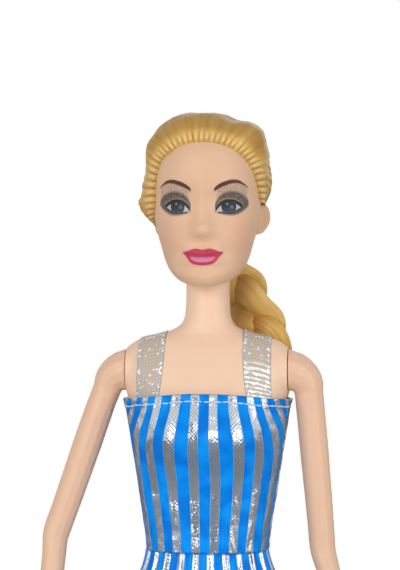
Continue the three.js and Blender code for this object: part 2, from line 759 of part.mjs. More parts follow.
// The rings of the shoulder, which turn about the armpit from the flat seam to the upper arm.
function shoulderRings(seam, splay, backward) {
  const pivot = new THREE.Vector3(seam + armpitInset, 0, shoulder.height - armSeamRadius - armpitInset);
  const fanSteps = 6;
  const rings = [];
  for (let k = 0; k <= fanSteps; k++) {
    const share = k / fanSteps;
    const lean = THREE.MathUtils.lerp(Math.PI / 2, splay, share);
    const outward = new THREE.Vector3(Math.cos(lean), 0, Math.sin(lean));
    const radius = THREE.MathUtils.lerp(armSeamRadius, upperArmRadius, share ** shoulderFallShare);
    const middle = moved(pivot, [outward, armpitInset + radius]);
    if (k === 0) middle.x = seam;
    rings.push(ringAcross(middle, outward, backward, radius, radius));
  }
  return { rings, pivot };
}

// The fingers and the thumb of a hand: its wrist, and the directions down, back and across the palm.
function fingers(wrist, handDown, forearmBack) {
  const knuckles = moved(wrist, [handDown, palmLength * knuckleShare]);
  const straight = fingerPlaceShares.map(([place, lengthShare]) => {
    const root = moved(knuckles, [forearmBack, palmHalfWidth * place]);
    const tip = moved(root, [handDown, fingerLength * lengthShare]);
    return shaft(root.toArray(), tip.toArray(), fingerRadius, fingerRadius * fingerTipShare, fingerSides);
  });
  const downAndForward = (start, down, forward) => moved(start, [handDown, down], [forearmBack, -forward]);
  const root = downAndForward(wrist, palmLength * thumbShares.root, palmHalfWidth * thumbShares.side);
  const tip = downAndForward(root, thumbLength * thumbShares.down, thumbLength * thumbShares.forward);
  const [thick, thin] = [fingerRadius * thumbShares.thick, fingerRadius * thumbShares.tip];
  return [...straight, shaft(root.toArray(), tip.toArray(), thick, thin, fingerSides)];
}

// An arm on the left side, by how many degrees its upper arm and its forearm stand out.
function leftHandedArm({ upper, forearm }) {
  const seam = seamHalfWidth + jointGap;
  const backward = new THREE.Vector3(0, 1, 0);
  const [splay, forearmLean, bend] = [upper, forearm, elbowBendDegrees].map((angle) => angle * degree);
  const { rings, pivot } = shoulderRings(seam, splay, backward);
  const along = new THREE.Vector3(Math.sin(splay), 0, -Math.cos(splay));
  const side = new THREE.Vector3(Math.cos(splay), 0, Math.sin(splay));
  const start = moved(pivot, [side, armpitInset + upperArmRadius]);
  for (const [lengthShare, radiusShare] of upperArmStationShares) {
    const radius = upperArmRadius * radiusShare;
    const middle = moved(start, [along, upperArmLength * lengthShare]);
    rings.push(ringAcross(middle, side, backward, radius, radius));
  }
  const elbow = moved(start, [along, upperArmLength]);
  rings.push(ringAcross(elbow, side, backward, elbowRadius, elbowRadius));
  const down = new THREE.Vector3(
    Math.sin(forearmLean),
    -Math.sin(bend),
    -Math.cos(forearmLean) * Math.cos(bend),
  ).normalize();
  const forearmBack = moved(backward, [down, -backward.dot(down)]).normalize();
  const forearmSide = down.clone().cross(forearmBack).normalize();
  for (const [lengthShare, radiusShare] of forearmStationShares) {
    const radius = forearmRadius * radiusShare;
    const middle = moved(elbow, [down, forearmLength * lengthShare]);
    rings.push(ringAcross(middle, forearmSide, forearmBack, radius * forearmFlatShare, radius));
  }
  const wrist = moved(elbow, [down, forearmLength]);
  const handDown = new THREE.Vector3(down.x / 2, down.y, down.z).normalize();
  for (const [lengthShare, widthShare, thicknessShare] of palmStationShares) {
    const middle = moved(wrist, [handDown, palmLength * lengthShare]);
    const [thick, wide] = [palmHalfThickness * thicknessShare, palmHalfWidth * widthShare];
    rings.push(ringAcross(middle, forearmSide, forearmBack, thick, wide));
  }
  const wallInside = seamHalfWidth - torsoWall - jointGap;
  const plugEnd = shoulderAt(wallInside - armPlugHeadLength);
  const plug = shaft(plugEnd, shoulderAt(seam + overrun), armHoleRadius - jointGap);
  const plugHead = shaft(plugEnd, shoulderAt(wallInside), armPlugHeadRadius);
  return [...fingers(wrist, handDown, forearmBack), plug, plugHead].reduce(
    (solid, piece) => solid.add(piece),
    solidOf(skin(rings.reverse())),
  );
}

const mirrored = (solid) => solid.mirror([1, 0, 0]);

// Legs and shoes

const legLevels = [ankleEnd, ankle, shin, calf, knee, aboveKnee, thighMiddle, thigh, thighTop];
const legAt = smoothTable(
  legLevels.map((level) => [level.height, level.out, level.back, level.halfWidth, level.halfDepth]),
);

// Stations of the foot from the back of the heel to the toes: shares of the foot's length, of the heel's lift,
// of its half height and of its half width.
const footStationShares = [
  [0.02, 1.1, 0.34, 0.42], [0.08, 1.07, 0.7, 0.66], [0.2, 1, 0.96, 0.78], [0.36, 0.82, 0.98, 0.8],
  [0.5, 0.56, 0.86, 0.86], [0.64, 0.27, 0.68, 0.98], [0.76, 0.1, 0.5, 1.02], [0.88, 0.02, 0.36, 0.9],
  [0.97, -0.01, 0.24, 0.55],
];
const heelBack = 8.2; // how far the heel reaches behind the spine line
const ballHalfHeightShare = 0.5;
const toeBulgeShare = 0.12; // of the foot's half height
const ballHeight = soleThickness + seamGap + footHalfHeight * ballHalfHeightShare;

function footRings(allowance) {
  return footStationShares.map(([lengthShare, liftShare, heightShare, widthShare]) => {
    const middle = new THREE.Vector3(
      ankle.out,
      heelBack - footLength * lengthShare,
      ballHeight + heelLift * liftShare + ((heightShare - ballHalfHeightShare) * footHalfHeight) / 2,
    );
    return ringAcross(
      middle,
      new THREE.Vector3(1, 0, 0),
      up,
      footHalfWidth * widthShare + allowance,
      footHalfHeight * heightShare + allowance,
      limbSides,
    );
  });
}

function footForm(allowance) {
  const rings = footRings(allowance);
  const tipBulge = allowance + footHalfHeight * toeBulgeShare;
  const ends = [
    [rings[0], tipBulge],
    [rings.at(-1), -tipBulge],
  ];
  const [heelPole, toePole] = ends.map(([ring, bulge]) => {
    const middle = ring.reduce((sum, p) => sum.add(p), new THREE.Vector3()).divideScalar(ring.length);
    return middle.add(new THREE.Vector3(0, bulge, 0));
  });
  return solidOf(skinWithPoles(rings, heelPole, toePole));
}

function legForm(allowance) {
  const heights = [];
  const widestStep = 12;
  legLevels.slice(0, -1).forEach((level, i) => {
    const rise = legLevels[i + 1].height - level.height;
    const steps = Math.ceil(rise / widestStep);
    for (let k = 0; k < steps; k++) heights.push(level.height + (rise * k) / steps);
  });
  const legSides = 14;
  const rings = [...heights, thighTop.height].map((height) => {
    const [out, back, halfWidth, halfDepth] = legAt(height);
    return ringAcross(
      new THREE.Vector3(out, back, height),
      new THREE.Vector3(1, 0, 0),
      new THREE.Vector3(0, 1, 0),
      halfWidth + allowance,
      halfDepth + allowance,
      legSides,
    );
  });
  return solidOf(skin(rings));
}

function leftLeg() {
  const inner = crotchHalfWidth + jointGap;
  const hipPart = torsoForm.intersect(hipDisc(1, hipDiscRadius, inner));
  const keepOut = hipDisc(1, hipDiscRadius + jointGap, -inner).intersect(
    block([-inner, -farOut, 0], [inner, farOut, hip.height + farOut]),
  );
  const bore = shaft(axleAt(0), axleAt(axleHalfLength + jointGap), axleRadius + jointGap);
  return legForm(0).subtract(keepOut).add(hipPart).add(footForm(0)).subtract(bore);
}

// The top line of the shoe from the heel to the instep: shares of the foot's length, of the heel's lift and of
// the rise of the top line.
const toplineShares = [[0.12, 1.02, 0.3], [0.36, 0.62, 0], [0.5, 0.36, 0]];
const counterShares = [1.1, 0.5]; // of the lift and of the rise, at the back of the heel
const vampLiftShare = 0.14;
const soleBackShare = 0.6;
const soleDepthShare = 0.3; // of the foot's half height, above the sole's thickness
const heelShares = { top: 0.13, tip: 0.1, lift: 0.92, drop: 0.3 };
const shankShares = { front: 0.62, back: 0.2, drop: 0.72, thin: 1.4, thick: 1.9 };

function leftShoe() {
  const inside = footForm(seamGap).add(legForm(seamGap));
  const outside = footForm(seamGap + shoeWall);
  const yAt = (share) => heelBack - footLength * share;
  const zAt = (liftShare, riseShare) => ballHeight + heelLift * liftShare + toplineRise * riseShare;
  const toeFront = yAt(1);
  const vampStart = toeFront + vampLength;
  const top = new THREE.Shape();
  top.moveTo(heelBack + overrun, -overrun);
  top.lineTo(heelBack + overrun, zAt(...counterShares));
  for (const [lengthShare, ...shares] of toplineShares) top.lineTo(yAt(lengthShare), zAt(...shares));
  top.lineTo(vampStart, zAt(vampLiftShare, 0));
  top.lineTo(vampStart - shoeWall, zAt(vampLiftShare, 1));
  top.lineTo(toeFront - overrun * 2, zAt(vampLiftShare, 1));
  top.lineTo(toeFront - overrun * 2, -overrun);
  const underTopline = solidOf(
    new THREE.ExtrudeGeometry(top, { depth: footHalfWidth * 4, bevelEnabled: false })
      .rotateX(Math.PI / 2)
      .rotateZ(Math.PI / 2)
      .translate(ankle.out - footHalfWidth * 2, 0, 0),
  );
  const soleFront = toeFront - shoeWall;
  const soleBack = yAt(soleBackShare);
  const soleHalfLength = (soleBack - soleFront) / 2;
  const soleMiddle = soleFront + soleHalfLength;
  const soleOutline = new THREE.Shape();
  soleOutline.absellipse(ankle.out, soleMiddle, footHalfWidth + shoeWall, soleHalfLength, 0, 2 * Math.PI);
  const depth = soleThickness + footHalfHeight * soleDepthShare;
  const sole = solidOf(new THREE.ExtrudeGeometry(soleOutline, { depth, bevelEnabled: false, curveSegments: 8 }));
  const underHeel = (dropShare) => zAt(heelShares.lift, 0) - footHalfHeight * dropShare;
  const heel = shaft(
    [ankle.out, yAt(heelShares.tip), 0],
    [ankle.out, yAt(heelShares.top), underHeel(heelShares.drop)],
    heelTipRadius,
    heelTopRadius,
    limbSides,
  );
  const shank = shaft(
    [ankle.out, yAt(shankShares.front), soleThickness],
    [ankle.out, yAt(shankShares.back), underHeel(shankShares.drop)],
    heelTipRadius * shankShares.thin,
    heelTipRadius * shankShares.thick,
    limbSides,
  );
  const floor = block([-farOut, -farOut, -overrun], [farOut, farOut, 0]);
  return outside.intersect(underTopline).add(sole).add(heel).add(shank).subtract(inside).subtract(floor);
}

// Dress

const clothLayer = (from, to) => inflated(torsoSkin, to).subtract(inflated(torsoSkin, from));
const bodiceBottom = waist.height + seamGap;
const clothInside = dressClearance;
const clothOutside = dressClearance + dressCloth;

function bodicePieces() {
  const far = farOut * 2;
  const layer = clothLayer(clothInside, clothOutside);
  const sideSeam = dressSideBack - seamGap;
  const front = layer.intersect(block([-far, -far, bodiceBottom], [far, sideSeam, bodiceTopHeight]));
  const tapeStart = clothOutside + seamGap;
  const hookStart = tapeStart + tapeThickness + seamGap;
  const tapeEdge = -seamGap * 3;
  const tapeStartCorner = [tapeEdge - closureWidth, dressSideBack, bodiceBottom];
  const tapeBand = block(tapeStartCorner, [tapeEdge, far, bodiceTopHeight]);
  const loop = clothLayer(tapeStart, tapeStart + tapeThickness).intersect(tapeBand);
  const hook = clothLayer(hookStart, hookStart + tapeThickness).intersect(tapeBand);
  const flapStart = hookStart + tapeThickness + seamGap;
  const back = wrapped(clothLayer, [dressSideBack, bodiceBottom], [far, bodiceTopHeight], flapStart);
  return { front, backLeft: back.left, backRight: back.right, loop, hook };
}

function strap(middle) {
  const half = strapWidth / 2;
  return clothLayer(seamGap, seamGap + strapCloth).intersect(
    block(
      [middle - half, -farOut, bodiceTopHeight + seamGap],
      [middle + half, farOut, shoulder.height + farOut],
    ),
  );
}

// The skirt between two distances from the body, hanging from the waist in folds.
const skirtLevelShares = [0, 0.15, 0.32, 0.5, 0.68, 0.85, 1];

function skirtForm(offset) {
  const skirtSides = foldCount * 4;
  const top = waist.height;
  const rings = skirtLevelShares.map((share) => {
    const height = top - skirtLength * share;
    const hipShare = Math.min((top - height) / (top - hip.height - skirtHipRise), 1);
    const [halfWidth, front, back] = torsoAt(Math.max(height, hip.height));
    const flare = THREE.MathUtils.smoothstep(share, 0, 1);
    const reach = (body, hem) => {
      const close = body + skirtHipSwell * hipShare;
      return THREE.MathUtils.lerp(close, Math.max(hem, close), flare) + offset;
    };
    const [wide, forwardDepth, backDepth] = [
      reach(halfWidth, hemSpread.side), reach(front, hemSpread.front), reach(back, hemSpread.back),
    ];
    return Array.from({ length: skirtSides }, (_, i) => {
      const angle = (i / skirtSides) * 2 * Math.PI;
      const forward = Math.cos(angle);
      const fold = foldDepth * share * Math.cos(angle * foldCount);
      const depth = forward > 0 ? forwardDepth : backDepth;
      return new THREE.Vector3(
        (wide + fold) * power(Math.sin(angle), skirtSquareShare),
        -(depth + fold) * power(forward, skirtSquareShare),
        height,
      );
    });
  });
  return solidOf(skin(rings.reverse()));
}

const skirtLayer = (from, to) => skirtForm(to).subtract(skirtForm(from));

// Two halves of cloth that meet at the middle: the left one carries on over the right one by a flap.
function wrapped(layer, low, high, flapStart) {
  const cut = (lowX, highX) => block([lowX, low[0], low[1]], [highX, high[0], high[1]]);
  const under = layer(clothInside, clothOutside);
  const flap = layer(flapStart, flapStart + dressCloth);
  const turn = layer(clothInside, flapStart + dressCloth);
  const turnEnd = seamGap + dressCloth;
  const left = under
    .intersect(cut(seamGap, farOut * 2))
    .add(flap.intersect(cut(-flapWidth, turnEnd)))
    .add(turn.intersect(cut(seamGap, turnEnd)));
  return { left, right: under.intersect(cut(-farOut * 2, -seamGap)) };
}

function skirtHalves() {
  return wrapped(skirtLayer, [-farOut * 2, 0], [farOut * 2, waist.height], clothOutside + seamGap);
}

// Materials
function finish(color, roughness, metalness = 0) {
  return new THREE.MeshStandardMaterial({ color, roughness, metalness });
}
const skinVinyl = finish("#e6b897", 0.5);
const skinPlastic = finish("#e9bd9c", 0.42);
const hairFibre = finish("#d9ab4c", 0.4);
const elastic = finish("#c9a24a", 0.7);
const plugPlastic = finish("#e4d6c4", 0.5);
const axleSteel = finish("#b9bcc0", 0.35, 1);
const striped = finish("#1478d8", 0.35, 0.3);
const glitter = finish("#b9b2ac", 0.4, 0.6);
const tapeWhite = finish("#e9edf2", 0.8);
const shoePlastic = finish("#c9ced6", 0.25, 0.2);

// Assembly
const doll = new THREE.Group();
const headGroup = new THREE.Group();
headGroup.position.set(0, 0, chinHeight);
doll.add(headGroup);

function place(name, solid, material, group = doll) {
  const mesh = new THREE.Mesh(geometryOf(solid), material);
  mesh.name = name;
  group.add(mesh);
  return mesh;
}

place("torso_front", torsoHalf(true), skinPlastic);
place("torso_back", torsoHalf(false), skinPlastic);
place("neck_plug", neckPlug(), plugPlastic);
place("hip_axle", shaft(axleAt(-axleHalfLength), axleAt(axleHalfLength), axleRadius), axleSteel);

place("head_shell", headShell(), skinVinyl, headGroup);
place("hair_cap", hairCap(), hairFibre, headGroup);
place("braid", braid(), hairFibre);
place("braid_band", elasticBand(), elastic);
place("braid_tuft", tuft(), hairFibre);

for (const { name, sign } of sides) {
  const onSide = sign > 0 ? (solid) => solid : mirrored;
  place(`${name}_arm`, onSide(leftHandedArm(armLeanDegrees[name])), skinVinyl);
  place(`${name}_leg`, onSide(leftLeg()), skinVinyl);
  place(`${name}_shoe`, onSide(leftShoe()), shoePlastic);
}

const bodice = bodicePieces();
place("bodice_front", bodice.front, striped);
place("bodice_back_left", bodice.backLeft, striped);
place("bodice_back_right", bodice.backRight, striped);
place("closure_loop_tape", bodice.loop, tapeWhite);
place("closure_hook_tape", bodice.hook, tapeWhite);
place("left_strap", strap(leftStrapPlace), glitter);
place("right_strap", strap(-rightStrapPlace), glitter);
const skirt = skirtHalves();
place("skirt_left", skirt.left, striped);
place("skirt_right", skirt.right, striped);

export default doll;
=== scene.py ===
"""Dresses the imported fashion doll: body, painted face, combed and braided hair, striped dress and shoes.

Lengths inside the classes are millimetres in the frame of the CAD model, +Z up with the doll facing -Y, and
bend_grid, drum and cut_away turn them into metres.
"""

from __future__ import annotations

import logging
import math
from collections.abc import Callable, Sequence
from dataclasses import dataclass, field
from enum import Enum
from typing import TypeVar

import bmesh
import bpy
from bmesh.types import BMEdge, BMesh, BMVert
from bpy.types import Material, Node, NodeSocket, NodeTree, Object
from mathutils import Matrix, Vector, noise
from mathutils.bvhtree import BVHTree


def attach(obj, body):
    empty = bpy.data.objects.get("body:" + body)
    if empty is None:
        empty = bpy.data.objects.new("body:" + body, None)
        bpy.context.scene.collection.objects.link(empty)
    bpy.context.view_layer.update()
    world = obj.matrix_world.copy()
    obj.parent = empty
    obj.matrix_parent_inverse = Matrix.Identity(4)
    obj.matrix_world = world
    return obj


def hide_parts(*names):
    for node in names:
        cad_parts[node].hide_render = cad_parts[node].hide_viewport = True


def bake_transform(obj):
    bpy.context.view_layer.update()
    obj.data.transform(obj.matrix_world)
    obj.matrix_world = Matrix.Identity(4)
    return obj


LOG = logging.getLogger("doll")
MM = 0.001
TURN = 2 * math.pi

# Metres between points that are one point
WELD = 2e-6
SHARP_EDGE = math.radians(45)

# The underside of the chin, how far the neck stands behind the body's middle, the middle of the skull above
# the chin, and how much taller the face is than the proportions it was measured in
CHIN_HEIGHT = 253.0
NECK_BACK = 2.0
SKULL_RISE = 20.0
FACE_STRETCH = 1.02

Place = Callable[[float, float], Vector]
Pair = tuple[float, float]
Outline = tuple[Pair, ...]
Rows = tuple[tuple[float, ...], ...]
Inputs = dict[int | str, object]
Paint = str | NodeSocket
Layer = tuple["Field", Paint]
Value = TypeVar("Value", float, Vector)


class Side(Enum):
    """The doll's own left and right, as signs along X."""

    LEFT = 1
    RIGHT = -1

    @property
    def word(self) -> str:
        """The side's name in the names of nodes and pieces."""
        return self.name.lower()

    @property
    def way(self) -> Vector:
        """The direction away from the body on this side."""
        return Vector((self.value, 0, 0))


class Cut(Enum):
    """What a cutting mesh does: takes its own room out of an object, or leaves only what is inside it."""

    OUT = "DIFFERENCE"
    TO_SHAPE = "INTERSECT"


# Numbers and curves


def smoothstep(value: float, start: float, end: float) -> float:
    """Rises smoothly from 0 at start to 1 at end."""
    share = min(max((value - start) / (end - start), 0.0), 1.0)
    return share * share * (3 - 2 * share)


def bell(value: float, width: float) -> float:
    """A bell curve of height 1."""
    return math.exp(-((value / width) ** 2) / 2)


def power(value: float, exponent: float) -> float:
    """A power that keeps the value's sign."""
    return math.copysign(abs(value) ** exponent, value)


def mix(low: float, high: float, share: float) -> float:
    """The value a share of the way from low to high."""
    return low + (high - low) * share


def eased(low: Value, high: Value, start: Value, end: Value, share: float) -> Value:
    """A smooth curve from low to high, with its slopes at the start and the end, at a share of the way."""
    rise = high - low
    return low + share * (start + share * (3 * rise - 2 * start - end + share * (start + end - 2 * rise)))


class SmoothTable:
    """Reads a table by its rising first column, with a smooth curve through the rows."""

    def __init__(self, rows: Sequence[Sequence[float]]) -> None:
        """Keeps the rows, each of them a key and its values."""
        self.rows = [tuple(row) for row in rows]

    def __call__(self, key: float) -> list[float]:
        """The values at a key.

        Args:
            key: Where to read, held within the first and last row.

        Returns:
            One value for each column after the key.
        """
        last = len(self.rows) - 2
        k = next((i for i in range(last) if key <= self.rows[i + 1][0]), last)
        before, low = self.rows[max(k - 1, 0)], self.rows[k]
        high, after = self.rows[k + 1], self.rows[min(k + 2, last + 1)]
        span = high[0] - low[0]
        t = min(max((key - low[0]) / span, 0.0), 1.0)
        values = []
        for i in range(1, len(low)):
            start = (high[i] - before[i]) / (high[0] - before[0]) * span
            end = (after[i] - low[i]) / (after[0] - low[0]) * span
            values.append(eased(low[i], high[i], start, end, t))
        return values


# Meshes


def bend_grid(
    mesh: BMesh, across: int, along: int, place: Place, repeats: Pair = (1.0, 1.0), shift: float = 0.0
) -> None:
    """Adds a grid and bends it to a surface.

    Args:
        mesh: The mesh that takes the grid.
        across: Faces along the surface's first direction.
        along: Faces along its second direction.
        place: The point, in millimetres, at a share of each direction.
        repeats: How far the UV map runs along each direction.
        shift: What it reads at the start of the second direction.
    """
    grid = bmesh.ops.create_grid(mesh, x_segments=across, y_segments=along, size=0.5)["verts"]
    shares = {vert: (vert.co.x + 0.5, vert.co.y + 0.5) for vert in grid}
    layer = mesh.loops.layers.uv.verify()
    for face in {face for vert in grid for face in vert.link_faces}:
        for loop in face.loops:
            first, second = shares[loop.vert]
            loop[layer].uv = (first * repeats[0], second * repeats[1] + shift)
    for vert, (first, second) in shares.items():
        vert.co = place(first, second) * MM


def remap(mesh: BMesh, chart: Callable[[float, float], Pair]) -> None:
    """Rewrites the UV map of a bent grid.

    Args:
        mesh: The mesh.
        chart: What the map is to read at a share of each direction.
    """
    layer = mesh.loops.layers.uv.verify()
    for face in mesh.faces:
        for loop in face.loops:
            loop[layer].uv = chart(*loop[layer].uv)


def open_edges(mesh: BMesh) -> list[BMEdge]:
    """The edges of a mesh's openings."""
    return [edge for edge in mesh.edges if edge.is_boundary]


def to_object(name: str, mesh: BMesh, finish: Material) -> Object:
    """Turns a finished bmesh into a smooth-shaded object at the origin.

    Args:
        name: The piece's name.
        mesh: Its bmesh, which is freed.
        finish: Its material.

    Returns:
        The new object, linked to the scene.
    """
    bmesh.ops.remove_doubles(mesh, verts=mesh.verts, dist=WELD)
    bmesh.ops.dissolve_degenerate(mesh, edges=mesh.edges, dist=WELD / 4)
    bmesh.ops.recalc_face_normals(mesh, faces=mesh.faces)
    data = bpy.data.meshes.new(name)
    mesh.to_mesh(data)
    mesh.free()
    data.shade_smooth()
    data.materials.append(finish)
    obj = bpy.data.objects.new(name, data)
    bpy.context.scene.collection.objects.link(obj)
    return obj


def thickened(obj: Object, thickness: float) -> Object:
    """Gives a sheet its thickness in millimetres, behind its surface.

    Args:
        obj: The sheet.
        thickness: Its thickness.

    Returns:
        The same object.
    """
    wall = obj.modifiers.new("cloth", "SOLIDIFY")
    wall.thickness, wall.offset = thickness * MM, -1
    return obj


def applied(obj: Object) -> Object:
    """Applies an object's modifiers to its mesh.

    Args:
        obj: The object.

    Returns:
        The same object, with no modifiers left.
    """
    graph = bpy.context.evaluated_depsgraph_get()
    shaped = bpy.data.meshes.new_from_object(obj.evaluated_get(graph))
    obj.modifiers.clear()
    obj.data = shaped
    return obj


def fused(obj: Object, voxel: float, rounds: int) -> Object:
    """Makes one smooth skin over an object's overlapping forms.

    Args:
        obj: The object.
        voxel: The skin's grain in millimetres.
        rounds: How many times it is smoothed.

    Returns:
        The same object.
    """
    remesh = obj.modifiers.new("skin", "REMESH")
    remesh.mode, remesh.voxel_size = "VOXEL", voxel * MM
    smooth = obj.modifiers.new("soften", "SMOOTH")
    smooth.factor, smooth.iterations = 0.5, rounds
    applied(obj)
    obj.data.shade_smooth()
    return obj


def cut_away(mesh: BMesh, spot: Vector, away: Vector) -> None:
    """Cuts off what lies beyond a plane, and closes the cut.

    Args:
        mesh: The closed mesh.
        spot: A point of the plane, in millimetres.
        away: The direction of the part that goes.
    """
    every = [*mesh.verts, *mesh.edges, *mesh.faces]
    bmesh.ops.bisect_plane(mesh, geom=every, plane_co=spot * MM, plane_no=away, clear_outer=True, dist=1e-7)
    cap = bmesh.ops.holes_fill(mesh, edges=open_edges(mesh), sides=0)
    bmesh.ops.triangulate(mesh, faces=cap["faces"])


def drum(mesh: BMesh, start: Vector, end: Vector, radius: float, sides: int = 48) -> None:
    """Adds a cylinder between two points.

    Args:
        mesh: The bmesh that takes it.
        start: The middle of one end.
        end: The middle of the other end.
        radius: Its radius.
        sides: How many sides it has.
    """
    way = end - start
    turn = way.to_track_quat("Z", "Y").to_matrix().to_4x4()
    place = Matrix.Translation((start + end) / 2 * MM) @ turn
    size = radius * MM
    bmesh.ops.create_cone(
        mesh, cap_ends=True, segments=sides, radius1=size, radius2=size, depth=way.length * MM, matrix=place
    )


def carved(obj: Object, tool: BMesh, cut: Cut = Cut.OUT) -> Object:
    """Cuts an object with another closed mesh.

    Args:
        obj: The object.
        tool: The other mesh, which is freed.
        cut: What the other mesh does.

    Returns:
        The same object.
    """
    bmesh.ops.triangulate(tool, faces=tool.faces)
    data = bpy.data.meshes.new("tool")
    tool.to_mesh(data)
    tool.free()
    other = bpy.data.objects.new("tool", data)
    bpy.context.scene.collection.objects.link(other)
    knife = obj.modifiers.new("cut", "BOOLEAN")
    knife.operation, knife.object, knife.solver = cut.value, other, "MANIFOLD"
    applied(obj)
    obj.data.set_sharp_from_angle(angle=SHARP_EDGE)
    bpy.data.objects.remove(other)
    return obj


def add_node_copy(mesh: BMesh, node: str) -> None:
    """Adds a merged copy of a CAD node's mesh.

    Args:
        mesh: The bmesh that takes it.
        node: The node's name.
    """
    before = len(mesh.verts)
    mesh.from_mesh(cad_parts[node].data)
    mesh.verts.ensure_lookup_table()
    bmesh.ops.remove_doubles(mesh, verts=mesh.verts[before:], dist=WELD / 2)


def in_place_of(piece: Object, node: str, body: str) -> Object:
    """Puts a piece on a body, in place of a CAD node.

    Args:
        piece: The piece.
        node: The node that it replaces.
        body: The body that carries it.

    Returns:
        The piece.
    """
    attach(piece, body)
    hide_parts(node)
    return piece


@dataclass
class Section:
    """A cross-section of a limb: its middle, two directions in its plane and two half sizes."""

    middle: Vector
    first: Vector
    second: Vector
    sizes: Pair

    def at(self, angle: float) -> Vector:
        """The point of the section at an angle."""
        wide, thick = self.sizes
        return self.middle + self.first * (wide * math.cos(angle)) + self.second * (thick * math.sin(angle))


def loft(sections: Sequence[Section]) -> Place:
    """A smooth closed surface through cross-sections, rounded off at both ends.

    Args:
        sections: The sections in order.

    Returns:
        The place on it at a share of the way round and of the way along.
    """
    ends = 0.03

    def place(around: float, along: float) -> Vector:
        """The point at two shares."""
        last = len(sections) - 1
        share = min(max((along - ends) / (1 - 2 * ends), 0.0), 1.0) * last
        k = min(int(share), last - 1)
        before, low, high, after = (
            sections[min(max(k + step, 0), last)].at(around * TURN) for step in (-1, 0, 1, 2)
        )
        point = eased(low, high, (high - before) / 2, (after - low) / 2, share - k)
        closing = max(ends - along, along - 1 + ends, 0.0) / ends
        if closing:
            section = sections[0] if along < ends else sections[-1]
            point = section.middle.lerp(point, math.sqrt(max(1 - closing**2, 0.0)))
        return point

    return place


# Materials


def linear(colour: str) -> tuple[float, float, float, float]:
    """An sRGB colour, six hex digits after a hash, as linear red, green, blue and alpha."""
    parts = [int(colour[i : i + 2], 16) / 255 for i in (1, 3, 5)]
    return (*(p / 12.92 if p <= 0.04045 else ((p + 0.055) / 1.055) ** 2.4 for p in parts), 1.0)


def wire(tree: NodeTree, node: Node, inputs: Inputs) -> None:
    """Sets a node's inputs.

    Args:
        tree: The node tree.
        node: The node.
        inputs: For each input a value, a hex colour, a field or an output socket.
    """
    for key, value in inputs.items():
        value = value.socket if isinstance(value, Field) else value
        if isinstance(value, NodeSocket):
            tree.links.new(value, node.inputs[key])
        else:
            node.inputs[key].default_value = linear(value) if isinstance(value, str) else value


def add_node(tree: NodeTree, kind: str, inputs: Inputs | None = None, **settings: object) -> Node:
    """Adds a node with its settings, values and links.

    Args:
        tree: The node tree.
        kind: The node's type.
        inputs: What wire sets.
        settings: The node's own properties.

    Returns:
        The node.
    """
    node = tree.nodes.new(kind)
    for key, value in settings.items():
        setattr(node, key, value)
    wire(tree, node, inputs or {})
    return node


class Field:
    """A number that varies over a surface, as the output of a node."""

    def __init__(self, tree: NodeTree, socket: NodeSocket) -> None:
        """Wraps a socket."""
        self.tree, self.socket = tree, socket

    @classmethod
    def of(cls, tree: NodeTree, kind: str, inputs: Inputs, **settings: object) -> Field:
        """The first output of a new node."""
        return cls(tree, add_node(tree, kind, inputs, **settings).outputs[0])

    def math(self, operation: str, *others: Field | float) -> Field:
        """The result of a Math node on this field and others."""
        return Field.of(self.tree, "ShaderNodeMath", dict(enumerate((self, *others))), operation=operation)

    def __add__(self, other: Field | float) -> Field:
        """The sum."""
        return self.math("ADD", other)

    def __sub__(self, other: Field | float) -> Field:
        """The difference."""
        return self.math("SUBTRACT", other)

    def __mul__(self, other: Field | float) -> Field:
        """The product."""
        return self.math("MULTIPLY", other)

    def __truediv__(self, other: Field | float) -> Field:
        """The quotient."""
        return self.math("DIVIDE", other)

    def above(self, edge: float, soft: float) -> Field:
        """A mask that is 1 where this is above an edge, over a soft width."""
        ends = {"Value": self, "From Min": edge - soft / 2, "From Max": edge + soft / 2}
        return Field.of(self.tree, "ShaderNodeMapRange", ends, interpolation_type="SMOOTHSTEP")

    def below(self, edge: float, soft: float) -> Field:
        """A mask that is 1 where this is below an edge."""
        return (self * -1).above(-edge, soft)

    def curve(self, points: Outline) -> Field:
        """A smooth curve of this field through points, level beyond its ends.

        Args:
            points: Values of this field, each with the value of the curve there.

        Returns:
            The curve's value.
        """
        xs, ys = zip(*points)
        low, high = min(ys), max(ys)
        span = (high - low) or 1.0
        share = (self - xs[0]) / (xs[-1] - xs[0])
        node = add_node(self.tree, "ShaderNodeFloatCurve", {"Value": share})
        line = node.mapping.curves[0]
        spots = [((x - xs[0]) / (xs[-1] - xs[0]), (y - low) / span) for x, y in points]
        line.points[0].location = spots[0]
        for spot in spots[1:-1]:
            line.points.new(*spot)
        line.points[-1].location = spots[-1]
        node.mapping.update()
        return Field(self.tree, node.outputs[0]) * span + low


def layered(tree: NodeTree, base: Paint, layers: Sequence[Layer]) -> NodeSocket:
    """Lays colours over one another.

    Args:
        tree: The node tree.
        base: The lowest colour, as hex or a socket.
        layers: Masks from 0 to 1, each with the colour that it lays on, from the lowest.

    Returns:
        The finished colour's socket.
    """
    for mask, colour in layers:
        base = add_node(tree, "ShaderNodeMix", {0: mask, 6: base, 7: colour}, data_type="RGBA").outputs[2]
    return base


@dataclass(frozen=True)
class Finish:
    """What every finish starts from: its name, its colour as sRGB hex and its gloss."""

    name: str
    colour: str
    roughness: float = 0.5
    metallic: float = 0.0

    def build(self) -> Material:
        """Makes the material.

        Returns:
            The material.
        """
        material = bpy.data.materials.new(self.name)
        material.use_nodes = True
        tree = material.node_tree
        plain = {"Base Color": self.colour, "Roughness": self.roughness, "Metallic": self.metallic}
        for look in (plain, self.look(tree)):
            wire(tree, tree.nodes["Principled BSDF"], look)
        return material

    def look(self, tree: NodeTree) -> Inputs:
        """The finish's own pattern. The plain finish has none."""
        return {}


